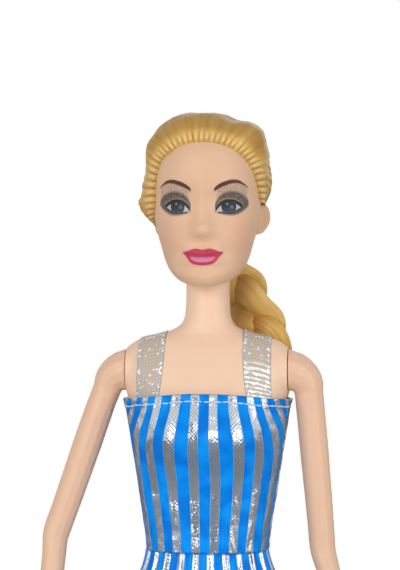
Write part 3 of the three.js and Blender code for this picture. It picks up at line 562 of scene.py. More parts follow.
@dataclass(frozen=True)
class MouldedVinyl(Finish):
    """Rotocast vinyl or injection-moulded plastic: satin, faintly mottled, with light that sinks in."""

    mottle: str = "#E8C0A0"
    depth: float = 0.12
    # Clouds of colour about 11 mm wide
    clouds_per_metre: float = 90.0
    # The mould's grain in millimetres, coarser than the real one so that it still dulls the gloss here
    grain: float = 0.25

    def look(self, tree: NodeTree) -> Inputs:
        """Mottles the colour and softens the light.

        Args:
            tree: The material's nodes.

        Returns:
            The shader's inputs.
        """
        where = add_node(tree, "ShaderNodeTexCoord").outputs["Object"]
        clouds, pores = (
            Field.of(tree, "ShaderNodeTexNoise", {"Vector": where, "Scale": scale})
            for scale in (self.clouds_per_metre, 1 / (self.grain * MM))
        )
        bump = add_node(tree, "ShaderNodeBump", {"Height": pores, "Distance": 0.01 * MM, "Strength": 0.08})
        return {
            "Base Color": layered(tree, self.colour, [(clouds, self.mottle)]),
            "Normal": bump.outputs[0],
            "Subsurface Weight": self.depth,
            "Subsurface Radius": (1.0, 0.4, 0.25),
            "Subsurface Scale": 1.5 * MM,
        }


@dataclass(frozen=True)
class HairFibre(Finish):
    """Rooted synthetic hair: glossy fibres, with painted shade between the tufts of the hairline, on the
    crown and further back, and painted highlights on the tufts' crests.

    Lengths are millimetres. A real fibre is under 0.1 mm thick and wouldn't show, so bunches of 0.3 mm
    are drawn in its place.
    """

    # The first colour is also the painted shade on the crown and further back; the last two are the painted
    # shade between the tufts and the painted highlight on their crests
    shade: str = "#936A2C"
    shine: str = "#EBCB8A"
    painted_crevice_shade: str = "#8A5622"
    crest: str = "#F2CC88"
    bunch: float = 0.3
    lock: float = 1.6
    run: float = 16.0
    root_pitch: float = 1.3
    crown_height: float = 31.0
    contrast: float = 0.45
    # How strongly painted shade darkens the hair further back from the hairline
    fade: float = 0.4
    # How far a strand of the braid runs before it comes out again, or 0 for loose hair
    lay: float = 0.0

    def look(self, tree: NodeTree) -> Inputs:
        """Runs fibres along the second direction of the UV map, which is in millimetres from the roots.

        Args:
            tree: The material's nodes.

        Returns:
            The shader's inputs.
        """
        where = add_node(tree, "ShaderNodeUVMap").outputs[0]

        def fibres(width: float, run: float) -> Field:
            """Noise drawn out along the hair."""
            stretch = {"Vector": where, "Scale": (1 / width, 1 / run, 1.0)}
            drawn = add_node(tree, "ShaderNodeMapping", stretch).outputs[0]
            return Field.of(tree, "ShaderNodeTexNoise", {"Vector": drawn, "Scale": 1.0, "Detail": 3.0})

        fine, broad = fibres(self.bunch, self.run), fibres(self.lock, self.run * 1.5)
        flat = add_node(tree, "ShaderNodeSeparateXYZ", {0: where})
        across, along = (Field(tree, out) for out in flat.outputs[:2])
        spot = add_node(tree, "ShaderNodeTexCoord").outputs["Object"]
        place = add_node(tree, "ShaderNodeSeparateXYZ", {0: spot})
        crown = (Field(tree, place.outputs[2]) / MM).above(CHIN_HEIGHT + self.crown_height, 6.0)
        wave = (across * (TURN / self.root_pitch)).math("COSINE")
        # Painted shade between the tufts, at their roots and a little further back away from the crown
        long_gap = along.below(3.4, 4.0) * (crown * -0.35 + 0.35)
        gap = wave.above(0.5, 0.9) * (along.below(1.0, 1.6) * 0.6 + long_gap)
        # Painted highlight on the tufts' crests just behind the hairline
        front = wave.below(0.2, 1.4) * along.above(0.5, 0.7) * (along + crown * 0.9).below(3.0, 2.4)
        # Painted shade on top of the crown and further back from the hairline
        painted_top_and_back_shade = (along.above(7.0, 9.0) * self.fade).math("MAXIMUM", crown * along.above(3.0, 2.0) * 0.5)
        layers = [
            (fine.above(0.42, 0.36) * self.contrast + (1 - self.contrast), self.colour),
            (broad.above(0.52, 0.36) * 0.4, self.shine),
            (painted_top_and_back_shade, self.shade),
            (front * 0.75, self.crest),
            (gap * 0.62, self.painted_crevice_shade),
        ]
        if self.lay:
            # Painted shade where each strand comes out from under another
            painted_strand_shade = (along * (2 * TURN / self.lay)).math("COSINE").above(0.45, 1.1)
            layers.append((painted_strand_shade * 0.45, self.painted_crevice_shade))
        ridges = {"Height": fine * 0.6 + broad * 0.4, "Distance": 0.05 * MM, "Strength": 0.5}
        return {
            "Base Color": layered(tree, self.shade, layers),
            "Normal": add_node(tree, "ShaderNodeBump", ridges).outputs[0],
            "Specular IOR Level": 0.25,
        }


@dataclass(frozen=True)
class StripedFoil(Finish):
    """Satin printed with stripes of silver foil: soft blue folds, lighter on their crests with painted sheen,
    between bright, mirror-like bands.

    The pattern's unit is one blue and one silver stripe, together 4.7 mm wide on the bodice. The weave shows
    through the foil as dots 0.7 mm apart, coarser than the real threads, which wouldn't show.
    """

    foil: str = "#F2F6FA"
    dot: str = "#84909E"
    deep: str = "#006CD2"
    blue_share: float = 0.54
    weave: float = 6.5

    def look(self, tree: NodeTree) -> Inputs:
        """Stripes the cloth along the second direction of the UV map.

        Args:
            tree: The material's nodes.

        Returns:
            The shader's inputs.
        """
        where = add_node(tree, "ShaderNodeUVMap").outputs[0]
        flat = add_node(tree, "ShaderNodeSeparateXYZ", {0: where})
        across, along = (Field(tree, out) for out in flat.outputs[:2])
        uneven, worn, threads, waves = (
            Field.of(tree, "ShaderNodeTexNoise", {"Vector": where, "Scale": scale, "Detail": detail})
            for scale, detail in ((3.0, 2.0), (7.0, 2.0), (26.0, 2.0), (0.9, 1.0))
        )
        stripe = (across + (uneven - 0.5) * 0.05).math("FRACT")
        metal = stripe.above(self.blue_share, 0.04) * stripe.below(0.985, 0.03)
        weft, warp = ((line * (TURN * self.weave)).math("COSINE") for line in (across, along))
        dots = weft * warp * 0.5 + 0.5
        sparkle = layered(tree, self.dot, [(dots * 0.7 + worn * 0.3, self.foil)])
        # Painted sheen: lighter blue on the crests of the waves that raise the folds, with the threads' own
        # tone mixed in
        folds = threads * 0.3 + waves.above(0.5, 0.3) * 0.5
        satin = layered(tree, self.deep, [(folds, self.colour)])
        relief = dots * metal * 0.2 + worn * metal * 0.7 + waves * 5 + threads * 0.08
        bump = add_node(tree, "ShaderNodeBump", {"Height": relief, "Distance": 0.2 * MM, "Strength": 0.7})
        return {
            "Base Color": layered(tree, satin, [(metal, sparkle)]),
            "Metallic": metal * 0.78,
            "Roughness": metal * -0.24 + 0.44,
            "Normal": bump.outputs[0],
            "Specular IOR Level": 0.06,
        }


@dataclass(frozen=True)
class GlitterMesh(Finish):
    """Thin knitted mesh with bonded silver glitter: bright specks, most along the edges, over a warm net.

    The pattern's unit is one cell of the net, 0.7 mm wide and coarser than the real one, which wouldn't show.
    """

    speck: str = "#FAF8F5"
    net: str = "#A8998B"
    border: str = "#ADB3B4"
    cells_across: float = 9.0
    specks_per_cell: float = 0.95
    row_pitch: float = 1.8
    painted_glints_below: float = 235.0

    def look(self, tree: NodeTree) -> Inputs:
        """Lays a net of square cells, one to a unit of the UV map, and glitter on it.

        Args:
            tree: The material's nodes.

        Returns:
            The shader's inputs.
        """
        where = add_node(tree, "ShaderNodeUVMap").outputs[0]
        flat = add_node(tree, "ShaderNodeSeparateXYZ", {0: where})
        across, along = (Field(tree, out) for out in flat.outputs[:2])
        first, second = ((line * TURN).math("COSINE") for line in (across, along))
        cells = first.math("MAXIMUM", second)
        edge = (across - self.cells_across / 2).math("ABSOLUTE").above(self.cells_across * 0.36, 1.6)
        specks = {"Vector": where, "Scale": self.specks_per_cell}
        glint = add_node(tree, "ShaderNodeTexVoronoi", specks, feature="F1")
        tone = Field.of(tree, "ShaderNodeSeparateColor", {0: glint.outputs["Color"]})
        dots = Field(tree, glint.outputs["Distance"]).below(0.38, 0.16)
        dots = dots * (tone + edge * 0.55).above(0.8, 0.12)
        # Low on the left strap the rows of glitter lie square to the light, and their glints are painted
        # white there
        spot = add_node(tree, "ShaderNodeTexCoord").outputs["Object"]
        place = add_node(tree, "ShaderNodeSeparateXYZ", {0: spot})
        side, height = (Field(tree, place.outputs[k]) / MM for k in (0, 2))
        rows = (along * (TURN / self.row_pitch)).math("COSINE").above(0.1, 1.0)
        rows = rows * (tone.above(0.35, 0.5) * 0.8 + 0.25)
        bright = dots.math("MAXIMUM", rows * side.above(0, 1) * height.below(self.painted_glints_below, 4))
        layers = [(cells.above(0.5, 0.8) * 0.6, self.net), (edge * 0.75, self.border), (bright, self.speck)]
        relief = {"Height": bright + cells * 0.4, "Distance": 0.08 * MM, "Strength": 0.5}
        return {
            "Base Color": layered(tree, self.colour, layers),
            "Metallic": bright * 0.4,
            "Normal": add_node(tree, "ShaderNodeBump", relief).outputs[0],
        }


@dataclass(frozen=True)
class WovenTrim(Finish):
    """Thread, tape or elastic: a matt surface of loops, with their pitch in millimetres."""

    pitch: float = 0.35
    hollow: str = "#B8BEC6"

    def look(self, tree: NodeTree) -> Inputs:
        """Raises a fine weave over the piece.

        Args:
            tree: The material's nodes.

        Returns:
            The shader's inputs.
        """
        where = add_node(tree, "ShaderNodeTexCoord").outputs["Object"]
        weave = {"Vector": where, "Scale": 1 / (self.pitch * MM)}
        loops = Field.of(tree, "ShaderNodeTexVoronoi", weave, feature="F1")
        bump = add_node(tree, "ShaderNodeBump", {"Height": loops, "Distance": 0.1 * MM, "Strength": 0.7})
        # Painted shade: greyer between the loops of the weave
        paint = layered(tree, self.colour, [(loops * 0.3, self.hollow)])
        return {"Base Color": paint, "Normal": bump.outputs[0]}


class FacePlane:
    """The face as it is seen from in front, in millimetres, with masks for the shapes printed on it."""

    def __init__(self, tree: NodeTree, where: NodeSocket) -> None:
        """Measures the face from the middle of the underside of the chin.

        Args:
            tree: The node tree.
            where: The piece's Object coordinates.
        """
        self.tree = tree
        from_chin = {"Vector": where, "Location": (0, 0, -CHIN_HEIGHT * MM)}
        local = add_node(tree, "ShaderNodeMapping", from_chin).outputs[0]
        spot = add_node(tree, "ShaderNodeSeparateXYZ", {0: local})
        self.side, depth, height = (Field(tree, out) / MM for out in spot.outputs)
        self.height = height / FACE_STRETCH
        self.across = self.side.math("ABSOLUTE")
        self.front = depth.below(-4.0, 0.5)

    def band(self, low: Field, high: Field, soft: float) -> Field:
        """The mask between two curves over the face."""
        return (self.height - low).above(0, soft) * (high - self.height).above(0, soft) * self.front

    def within(self, low: float, high: float, soft: float) -> Field:
        """The mask between two distances from the middle of the face."""
        return self.across.above(low, soft) * self.across.below(high, soft)

    def spread(self, aside: Field, middle: Pair, size: Pair = (1, 1)) -> Field:
        """The squared distance from a point, in units of a size to the side and upwards."""
        x, z = (aside - middle[0]) / size[0], (self.height - middle[1]) / size[1]
        return x.math("POWER", 2) + z.math("POWER", 2)


@dataclass(frozen=True)
class PaintedFace(MouldedVinyl):
    """The head's vinyl with its face printed on: each colour is a flat shape with a slightly soft edge.

    Lengths are millimetres. An outline gives heights above the chin at distances from the face's middle.
    """

    lip: str = "#C02F52"
    # Flecks of glitter about a quarter of a millimetre wide
    flecks_per_metre: float = 4200.0
    iris_middle: Pair = (6.04, 18.5)
    iris_radius: float = 1.74
    lash_pitch: float = 0.42
    dash_pitch: float = 0.6
    brow_low: Outline = (
        (2.75, 21.85), (4.2, 22.75), (5.8, 23.4), (7.2, 23.8), (8.3, 23.85), (9.4, 23.5), (10.5, 22.75),
    )
    brow_high: Outline = (
        (2.75, 22.6), (4.2, 23.75), (5.8, 24.4), (7.2, 24.7), (8.3, 24.6), (9.4, 24.0), (10.5, 22.95),
    )
    shadow_low: Outline = (
        (2.8, 18.6), (3.3, 17.4), (4.5, 16.8), (6.0, 16.5), (7.4, 16.55), (8.6, 17.05), (9.6, 17.8),
        (10.3, 18.6), (10.6, 19.2),
    )
    shadow_high: Outline = (
        (2.8, 18.9), (3.4, 20.1), (4.3, 21.1), (5.6, 21.75), (7.2, 21.95), (8.6, 21.65), (9.7, 20.95),
        (10.35, 20.2), (10.6, 19.2),
    )
    lid_low: Outline = (
        (3.1, 17.3), (4.3, 17.3), (5.4, 17.25), (6.6, 17.3), (7.6, 17.65), (8.4, 18.1), (8.8, 18.35),
    )
    lid_high: Outline = (
        (3.1, 17.4), (3.8, 18.35), (4.7, 19.1), (5.8, 19.5), (6.9, 19.5), (7.9, 19.1), (8.8, 18.45),
    )
    liner_high: Outline = (
        (2.9, 17.7), (3.7, 18.95), (4.7, 19.75), (5.8, 20.15), (6.9, 20.15), (8.0, 19.75), (9.0, 19.1),
        (9.8, 18.7),
    )
    gold_line: Outline = ((3.1, 18.8), (4.0, 19.7), (5.4, 20.3), (6.8, 20.35), (8.1, 19.95), (9.4, 19.3))
    lip_high: Outline = (
        (0.0, 8.5), (0.7, 8.62), (1.5, 8.78), (2.4, 8.66), (3.4, 8.32), (4.2, 8.08), (4.85, 7.92),
    )
    lip_low: Outline = (
        (0.0, 4.9), (1.2, 4.97), (2.2, 5.2), (3.0, 5.7), (3.7, 6.55), (4.3, 7.3), (4.8, 7.75),
    )
    lip_crease: Outline = ((0.0, 6.85), (1.4, 6.85), (2.76, 7.0), (3.8, 7.35), (4.8, 7.75))
    gloss_low: Outline = ((0.0, 5.6), (1.2, 5.7), (2.2, 6.05), (3.0, 6.5))

    def look(self, tree: NodeTree) -> Inputs:
        """Prints the make-up, the brows, the eyes and the lips where they lie on the face, with painted shade
        and sheen on some of them.

        Args:
            tree: The material's nodes.

        Returns:
            The shader's inputs.
        """
        vinyl = super().look(tree)
        where = add_node(tree, "ShaderNodeTexCoord").outputs["Object"]
        face = FacePlane(tree, where)
        across = face.across
        smoke = face.band(across.curve(self.shadow_low), across.curve(self.shadow_high), 0.9)
        smoke = smoke * face.within(2.8, 10.6, 0.6)
        lids = across.curve(self.lid_low), across.curve(self.lid_high)
        opening = face.band(*lids, 0.2) * face.within(3.1, 8.8, 0.14)
        layers = [
            *self.shadow(face, where, smoke),
            *self.eye(face, opening),
            *self.lashes(face, *lids),
            *self.mouth(face),
        ]
        shine = (smoke * 0.12 + opening * -0.12 + self.roughness).math("MAXIMUM", 0.15)
        return vinyl | {"Base Color": layered(tree, vinyl["Base Color"], layers), "Roughness": shine}

    def shadow(self, face: FacePlane, where: NodeSocket, smoke: Field) -> list[Layer]:
        """Blush on the cheek, shimmer up to the brow, glitter shadow round the eye, and the brow.

        Args:
            face: The face.
            where: Its Object coordinates.
            smoke: The mask of the dark shadow.

        Returns:
            The layers of colour.
        """
        flecks = {"Vector": where, "Scale": self.flecks_per_metre}
        glitter = add_node(face.tree, "ShaderNodeTexVoronoi", flecks, feature="F1")
        tone = Field.of(face.tree, "ShaderNodeSeparateColor", {0: glitter.outputs["Color"]})
        low, high = face.across.curve(self.brow_low), face.across.curve(self.brow_high)
        cheek = face.spread(face.across, (8.2, 12.0), (4.2, 4.0)).below(1.0, 1.6)
        lid = face.band(face.across.curve(self.shadow_high) - 0.4, low + 0.3, 0.9)
        taupe = layered(face.tree, "#9C8676", [(tone.above(0.8, 0.1), "#BFAE9F")])
        charcoal = layered(face.tree, "#36373A", [(tone.above(0.78, 0.2), "#606266")])
        return [
            (cheek * face.front * 0.16, "#E39A86"),
            (lid * face.within(3.4, 10.2, 1.2) * 0.62, taupe),
            (smoke * 0.9, charcoal),
            (face.band(low, high, 0.26) * face.within(2.75, 10.5, 0.3), "#5A352C"),
        ]

    def eye(self, face: FacePlane, opening: Field) -> list[Layer]:
        """The white, the iris, darker in its upper half with painted shade of the lashes, and its lights.

        Args:
            face: The face.
            opening: The mask of the open eye.

        Returns:
            The layers of colour.
        """
        x, z = self.iris_middle
        iris = face.spread(face.across, self.iris_middle).math("SQRT").below(self.iris_radius, 0.2)
        # Painted shade of the lashes: the iris is darker in its upper half
        blue = layered(face.tree, "#171A21", [((face.height - z).below(-0.3, 1.6), "#303846")])
        layers = [(opening, "#B7B4B6"), (iris * opening, blue)]
        for offset, lift, radius, colour in ((-0.35, 0.6, 0.2, "#8496AA"), (0.72, -0.1, 0.42, "#526072")):
            for middle in (x, -x):
                light = face.spread(face.side, (middle + offset, z + lift)).math("SQRT")
                layers.append((light.below(radius, 0.35) * opening, colour))
        return layers

    def lashes(self, face: FacePlane, lid_low: Field, lid_high: Field) -> list[Layer]:
        """Black liner over the eye, thin lashes under it, and a dashed gold line above the liner.

        Args:
            face: The face.
            lid_low: The height of the lower lid's edge.
            lid_high: The height of the upper lid's edge.

        Returns:
            The layers of colour.
        """
        across = face.across
        liner = face.band(lid_high - 0.08, across.curve(self.liner_high), 0.24)
        strokes = (across * (TURN / self.lash_pitch)).math("COSINE").above(0.1, 0.8)
        lower = face.band(lid_low - 0.5, lid_low + 0.02, 0.2) * face.within(3.4, 9.0, 0.5)
        line = across.curve(self.gold_line)
        dashes = (across * (TURN / self.dash_pitch)).math("COSINE").above(-0.5, 0.7)
        gold = face.band(line - 0.14, line + 0.2, 0.16) * face.within(3.2, 9.4, 0.4) * dashes
        return [
            (liner * face.within(2.95, 9.1, 0.6), "#1E1A18"),
            (lower * (strokes * 0.5 + 0.35), "#241F1E"),
            (gold * 0.8, "#A8893F"),
        ]

    def mouth(self, face: FacePlane) -> list[Layer]:
        """The lips with painted sheen on the lower one and painted shade in their crease, and painted shade
        in the nostrils.

        Args:
            face: The face.

        Returns:
            The layers of colour.
        """
        curve = face.across.curve
        lips = face.band(curve(self.lip_low), curve(self.lip_high), 0.3) * face.within(-1.0, 4.85, 0.2)
        crease = curve(self.lip_crease)
        # Painted shade in the crease between the lips
        part = face.band(crease - 0.08, crease + 0.12, 0.26) * face.within(-1.0, 4.6, 0.3)
        # Painted sheen: lighter pink on the lower lip
        gloss = face.band(curve(self.gloss_low), crease - 0.1, 0.5) * face.within(-1.0, 2.8, 0.6)
        # Painted shade in the nostrils
        nostril = face.spread(face.across, (1.35, 11.46), (0.5, 0.22)).below(1.0, 1.2)
        return [
            (lips, self.lip),
            (part * 0.3, "#962443"),
            (gloss * 0.85, "#D48CAC"),
            (nostril * face.front * 0.14, "#A56A52"),
        ]


# Body


@dataclass
class BodyShape:
    """The naked torso and neck as level rings: height, half width, depth in front and depth behind."""

    levels: SmoothTable = SmoothTable((
        (140.5, 19.9, 10, 11.5), (149, 20.4, 11.4, 13.8), (157, 20.2, 12.2, 14.6),
        (170, 18.2, 12, 12.2), (181, 15, 10.9, 9.5), (190, 13.7, 10.3, 8.7), (203, 15.4, 10.4, 9.4),
        (217, 17.6, 10.8, 10.1), (227, 19.3, 10.2, 9.7), (233, 20.6, 8.9, 9), (238.2, 19.4, 6.6, 7.5),
        (240.4, 16.2, 5.2, 6.9), (241.8, 10.6, 4.4, 6.9), (244, 6.45, 4, 7.3), (248.55, 5.35, 3.6, 7.6),
        (257, 5.35, 3.6, 7.6),
    ))
    column_height: float = 248.55
    shoulder_height: float = 233.0
    bust_height: float = 217.0
    bust_spread: float = 7.2
    bust_depth: float = 5.4
    bust_half_width: float = 5.2
    bust_rise: float = 6.4
    bust_drop: float = 4.6
    seam_half_width: float = 19.4
    hip_height: float = 157.0

    def point(self, turn: float, height: float) -> Vector:
        """A point of the skin.

        Args:
            turn: The share of a turn from the front by the left side.
            height: The height above the floor.

        Returns:
            The point.
        """
        half_width, front, back = self.levels(height)
        share = smoothstep(height, self.shoulder_height, self.column_height)
        square = mix(0.8, 1.0, share)
        middle = NECK_BACK * share
        forward = math.cos(turn * TURN)
        x = half_width * power(math.sin(turn * TURN), square)
        depth = front + middle if forward > 0 else back - middle
        reach = self.bust_rise if height > self.bust_height else self.bust_drop
        across = sum(bell(x - side.value * self.bust_spread, self.bust_half_width) for side in Side)
        swell = self.bust_depth * across * bell(height - self.bust_height, reach)
        swell *= max(forward, 0.0) ** square
        return Vector((x, middle - depth * power(forward, square) - swell, height))

    def normal(self, turn: float, height: float) -> Vector:
        """The outward direction of the skin at a point.

        Args:
            turn: The share of a turn from the front by the left side.
            height: The height above the floor.

        Returns:
            The direction.
        """
        step_turn, step_height = 0.004, 0.4
        sideways = self.point(turn + step_turn, height) - self.point(turn - step_turn, height)
        upward = self.point(turn, height + step_height) - self.point(turn, height - step_height)
        return sideways.cross(upward).normalized()

    def off(self, turn: float, height: float, distance: float) -> Vector:
        """A point at a distance from the skin."""
        return self.point(turn, height) + self.normal(turn, height) * distance

    def closed(self, low: float, high: float, rows: int) -> BMesh:
        """A stretch of the skin, closed at both ends.

        Args:
            low: The lower end's height.
            high: The upper end's height.
            rows: How many rows of faces it has.

        Returns:
            The mesh.
        """
        mesh = bmesh.new()
        bend_grid(mesh, 112, rows, lambda around, along: self.point(around, mix(low, high, along)))
        bmesh.ops.remove_doubles(mesh, verts=mesh.verts, dist=WELD / 2)
        bmesh.ops.holes_fill(mesh, edges=open_edges(mesh), sides=0)
        bmesh.ops.recalc_face_normals(mesh, faces=mesh.faces)
        return mesh

    def tree(self) -> BVHTree:
        """The skin as something that rays can hit."""
        rows = self.levels.rows
        mesh = self.closed(rows[0][0], rows[-1][0], 150)
        tree = BVHTree.FromBMesh(mesh)
        mesh.free()
        return tree


@dataclass
class Body:
    """The doll's plastic torso and its vinyl arms and legs."""

    shape: BodyShape
    vinyl: Material
    plastic: Material
    seam: float = 0.1
    lip_depth: float = 0.5
    lip_reach: float = 0.6
    groin: float = 140.5
    crotch: float = 147.6
    crotch_half_width: float = 5.0
    hip_radius: float = 16.2
    gap: float = 0.3
    axle_radius: float = 2.0
    axle_reach: float = 13.3
    boss_depth: float = 4.0
    boss_radius: float = 5.2
    arm_hole: float = 2.7
    plug_room: float = 4.3
    plug_room_ends: Pair = (14.9, 17.8)
    neck_top: float = 257.0
    neck_hole: float = 2.5
    neck_hole_ends: Pair = (247.7, 262.0)
    arm_seam: float = 19.55
    arm_inset: float = 0.75
    arm_top_radius: float = 5.0
    arm_radius: float = 3.25
    elbow_radius: float = 3.0
    elbow_bend: float = 14.0
    forearm: float = 35.0
    palm: float = 8.5
    hand_half_width: float = 3.2
    hand_half_depth: float = 1.45
    # Height, how far out and how far back the middle lies, half width and half depth
    leg_levels: SmoothTable = SmoothTable((
        (17, 7, 1.6, 2.7, 3.6), (27, 7, 1.4, 2.8, 3.3), (48, 7.2, 1.4, 4.2, 4.6), (70, 7.5, 1.2, 5.9, 6.6),
        (90, 7.7, -0.6, 5.8, 6.3), (99, 8.2, -0.4, 6.2, 6.7), (117, 9.6, 0.2, 7.5, 8.6),
        (136, 11.3, 0.9, 8.2, 10.6), (152, 11.9, 1.2, 8.4, 12),
    ))
    # Shares of the way from heel to toe, of the rise over the sole, and of the foot's height and width
    foot_stations: Rows = (
        (0.02, 1.1, 0.34, 0.42), (0.08, 1.07, 0.7, 0.66), (0.2, 1, 0.96, 0.78), (0.36, 0.82, 0.98, 0.8),
        (0.5, 0.56, 0.86, 0.86), (0.64, 0.27, 0.68, 0.98), (0.76, 0.1, 0.5, 1.02),
        (0.88, 0.02, 0.36, 0.9), (0.97, -0.01, 0.24, 0.55),
    )
    # Beyond the doll on either side
    far: float = 60.0
    # The skins' grains, fine enough for the fingers and the shoes' edges
    grain: float = 0.45
    hand_grain: float = 0.24
    shoe_grain: float = 0.22

    def torso(self) -> list[Object]:
        """The two torso shells, with their sockets for the arms, the legs, the axle and the neck's plug.

        Returns:
            The front and the back piece.
        """
        mesh = self.shape.closed(self.groin, self.neck_top, 230)
        for side in Side:
            seam = side.way * self.shape.seam_half_width + Vector((0, 0, self.shape.shoulder_height))
            drum(mesh, seam - side.way * self.boss_depth, seam + side.way, self.boss_radius)
        whole = fused(to_object("torso_whole", mesh, self.plastic), self.grain, 3)
        sockets = self.sockets()
        pieces = [
            self.shell(whole, sockets, node, sign) for node, sign in (("torso_front", -1), ("torso_back", 1))
        ]
        lip = self.seam_lip(whole, sockets)
        front = pieces[0].data
        joined = bmesh.new()
        joined.from_mesh(front)
        joined.from_mesh(lip.data)
        joined.to_mesh(front)
        joined.free()
        front.set_sharp_from_angle(angle=SHARP_EDGE)
        for spare in (whole, lip):
            bpy.data.objects.remove(spare)
        return pieces

    def sockets(self) -> BMesh:
        """The room for the legs' discs and for the plugs of the arms and the neck.

        Returns:
            The mesh that is cut out of the torso.
        """
        mesh = bmesh.new()
        hip = Vector((0, 0, self.shape.hip_height))
        shoulder = Vector((0, 0, self.shape.shoulder_height))
        inner, outer = self.plug_room_ends
        room = self.hip_radius + self.gap
        for side in Side:
            way = side.way
            drum(mesh, hip + way * self.crotch_half_width, hip + way * self.far, room, 96)
            drum(mesh, shoulder + way * inner, shoulder + way * outer, self.plug_room)
            drum(mesh, shoulder + way * (inner + 1), shoulder + way * self.far, self.arm_hole)
        low, high = (Vector((0, NECK_BACK, height)) for height in self.neck_hole_ends)
        drum(mesh, low, high, self.neck_hole)
        return mesh

    def shell(self, whole: Object, sockets: BMesh, node: str, sign: int) -> Object:
        """One half of the torso.

        Args:
            whole: The whole torso.
            sockets: The room that is cut out of it.
            node: The CAD node that it replaces.
            sign: -1 for the front half and 1 for the back half.

        Returns:
            The piece.
        """
        half = bmesh.new()
        half.from_mesh(whole.data)
        cut_away(half, Vector((0, sign * self.seam, 0)), Vector((0, -sign, 0)))
        cut_away(half, Vector((0, 0, self.crotch)), Vector((0, 0, -1)))
        for side in Side:
            cut_away(half, side.way * self.shape.seam_half_width, side.way)
        piece = carved(to_object(f"{node}_skin", half, self.plastic), sockets.copy())
        axle = bmesh.new()
        reach = Vector((self.crotch_half_width + 2, 0, 0))
        rise = Vector((0, 0, self.shape.hip_height))
        drum(axle, rise - reach, rise + reach, self.axle_radius + self.gap)
        return in_place_of(carved(piece, axle), node, "torso")

    def seam_lip(self, whole: Object, sockets: BMesh) -> Object:
        """The lip behind the seam, which closes it a little under the skin.

        Args:
            whole: The whole torso.
            sockets: The room that is cut out of it, which is freed.

        Returns:
            The lip.
        """
        slab = bmesh.new()
        slab.from_mesh(whole.data)
        inward = {vert: vert.normal.copy() for vert in slab.verts}
        for vert, normal in inward.items():
            vert.co -= normal * (self.lip_depth * MM)
        core = fused(to_object("torso_core", slab, self.plastic), self.grain, 1)
        slab = bmesh.new()
        slab.from_mesh(core.data)
        bpy.data.objects.remove(core)
        for sign in (-1, 1):
            cut_away(slab, Vector((0, sign * self.lip_reach, 0)), Vector((0, sign, 0)))
        cut_away(slab, Vector((0, 0, self.crotch + 1)), Vector((0, 0, -1)))
        return carved(to_object("seam_lip", slab, self.plastic), sockets)

    def upper_arm(self, splay: float) -> list[Section]:
        """The shoulder, which bends over from its seam, and the upper arm.

        Args:
            splay: Degrees that the arm stands away from the body.

        Returns:
            The sections, the last of them at the elbow.
        """
        back = Vector((0, 1, 0))
        drop = self.arm_top_radius + self.arm_inset
        pivot = Vector((self.arm_seam + self.arm_inset, 0, self.shape.shoulder_height - drop))
        settled = splay * 1.2 + 2
        sections: list[Section] = []

        def turned(degrees: float) -> tuple[Vector, Vector]:
            """Outward and along an arm that stands away by some degrees."""
            lean = math.radians(degrees)
            outward = Vector((math.cos(lean), 0, math.sin(lean)))
            return outward, Vector((math.sin(lean), 0, -math.cos(lean)))

        for k in range(11):
            share = k / 10
            outward, _ = turned(mix(90, settled, share))
            radius = mix(self.arm_top_radius, self.arm_radius, share**0.4)
            middle = pivot + outward * (self.arm_inset + radius)
            if not k:
                middle.x = self.arm_seam
            sections.append(Section(middle, outward, back, (radius, radius)))
        spot = pivot + outward * (self.arm_inset + self.arm_radius)
        for step in range(1, 39):
            outward, along = turned(mix(settled, splay, smoothstep(step, 0, 9)))
            spot = spot + along
            if step in (4, 8, 15, 23, 31):
                size = mix(1.03, 0.94, smoothstep(step, 12, 34))
                sections.append(Section(spot, outward, back, (self.arm_radius * size,) * 2))
        sections.append(Section(spot, outward, back, (self.elbow_radius,) * 2))
        return sections

    def add_fingers(self, mesh: BMesh, wrist: Vector, hand: Vector, side: Vector, back: Vector) -> None:
        """Adds four fingers and a thumb.

        Args:
            mesh: The bmesh that takes them.
            wrist: The middle of the wrist.
            hand: The direction of the hand.
            side: The direction away from the body.
            back: The direction to the hand's hinder edge.
        """
        knuckles = wrist + hand * 7.4
        # The root, the direction, the length and the radius of each
        fingers = [
            (knuckles + back * (self.hand_half_width * at), hand, 8 * length, 0.86)
            for at, length in ((-0.72, 0.92), (-0.25, 1.02), (0.23, 0.97), (0.69, 0.78))
        ]
        thumb_way = (hand * 0.8 - back * 0.52).normalized()
        fingers.append((wrist + hand * 2.6 - back * 1.4, thumb_way, 6.4, 1.02))
        curl = side * -0.9
        girths = ((0, 1.0), (0.3, 0.98), (0.36, 1.03), (0.62, 0.88), (0.68, 0.92), (0.9, 0.74), (1, 0.5))
        for root, way, length, radius in fingers:
            across = way.cross(side).normalized()
            parts = []
            for t, size in girths:
                middle = root + way * (length * t) + curl * t * t
                parts.append(Section(middle, side, across, (radius * size, radius * size * 0.94)))
            bend_grid(mesh, 12, 26, loft(parts))

    def arm(self, side: Side, splay: float, forearm_splay: float) -> Object:
        """An arm with its hand.

        Args:
            side: Which arm.
            splay: Degrees that the upper arm stands away from the body.
            forearm_splay: The same for the forearm.

        Returns:
            The piece.
        """
        sections = self.upper_arm(splay)
        elbow, back = sections[-1].middle, Vector((0, 1, 0))
        lean, bend = math.radians(forearm_splay), math.radians(self.elbow_bend)
        down = Vector((math.sin(lean), -math.sin(bend), -math.cos(lean) * math.cos(bend))).normalized()
        arm_back = (back - down * back.dot(down)).normalized()
        arm_side = down.cross(arm_back).normalized()
        for share, radius in ((0.14, 2.98), (0.3, 2.95), (0.55, 2.66), (0.8, 2.24), (1, 2.0)):
            middle = elbow + down * (self.forearm * share)
            sections.append(Section(middle, arm_side, arm_back, (radius * 0.92, radius)))
        wrist = elbow + down * self.forearm
        hand = Vector((down.x / 2, down.y, down.z)).normalized()
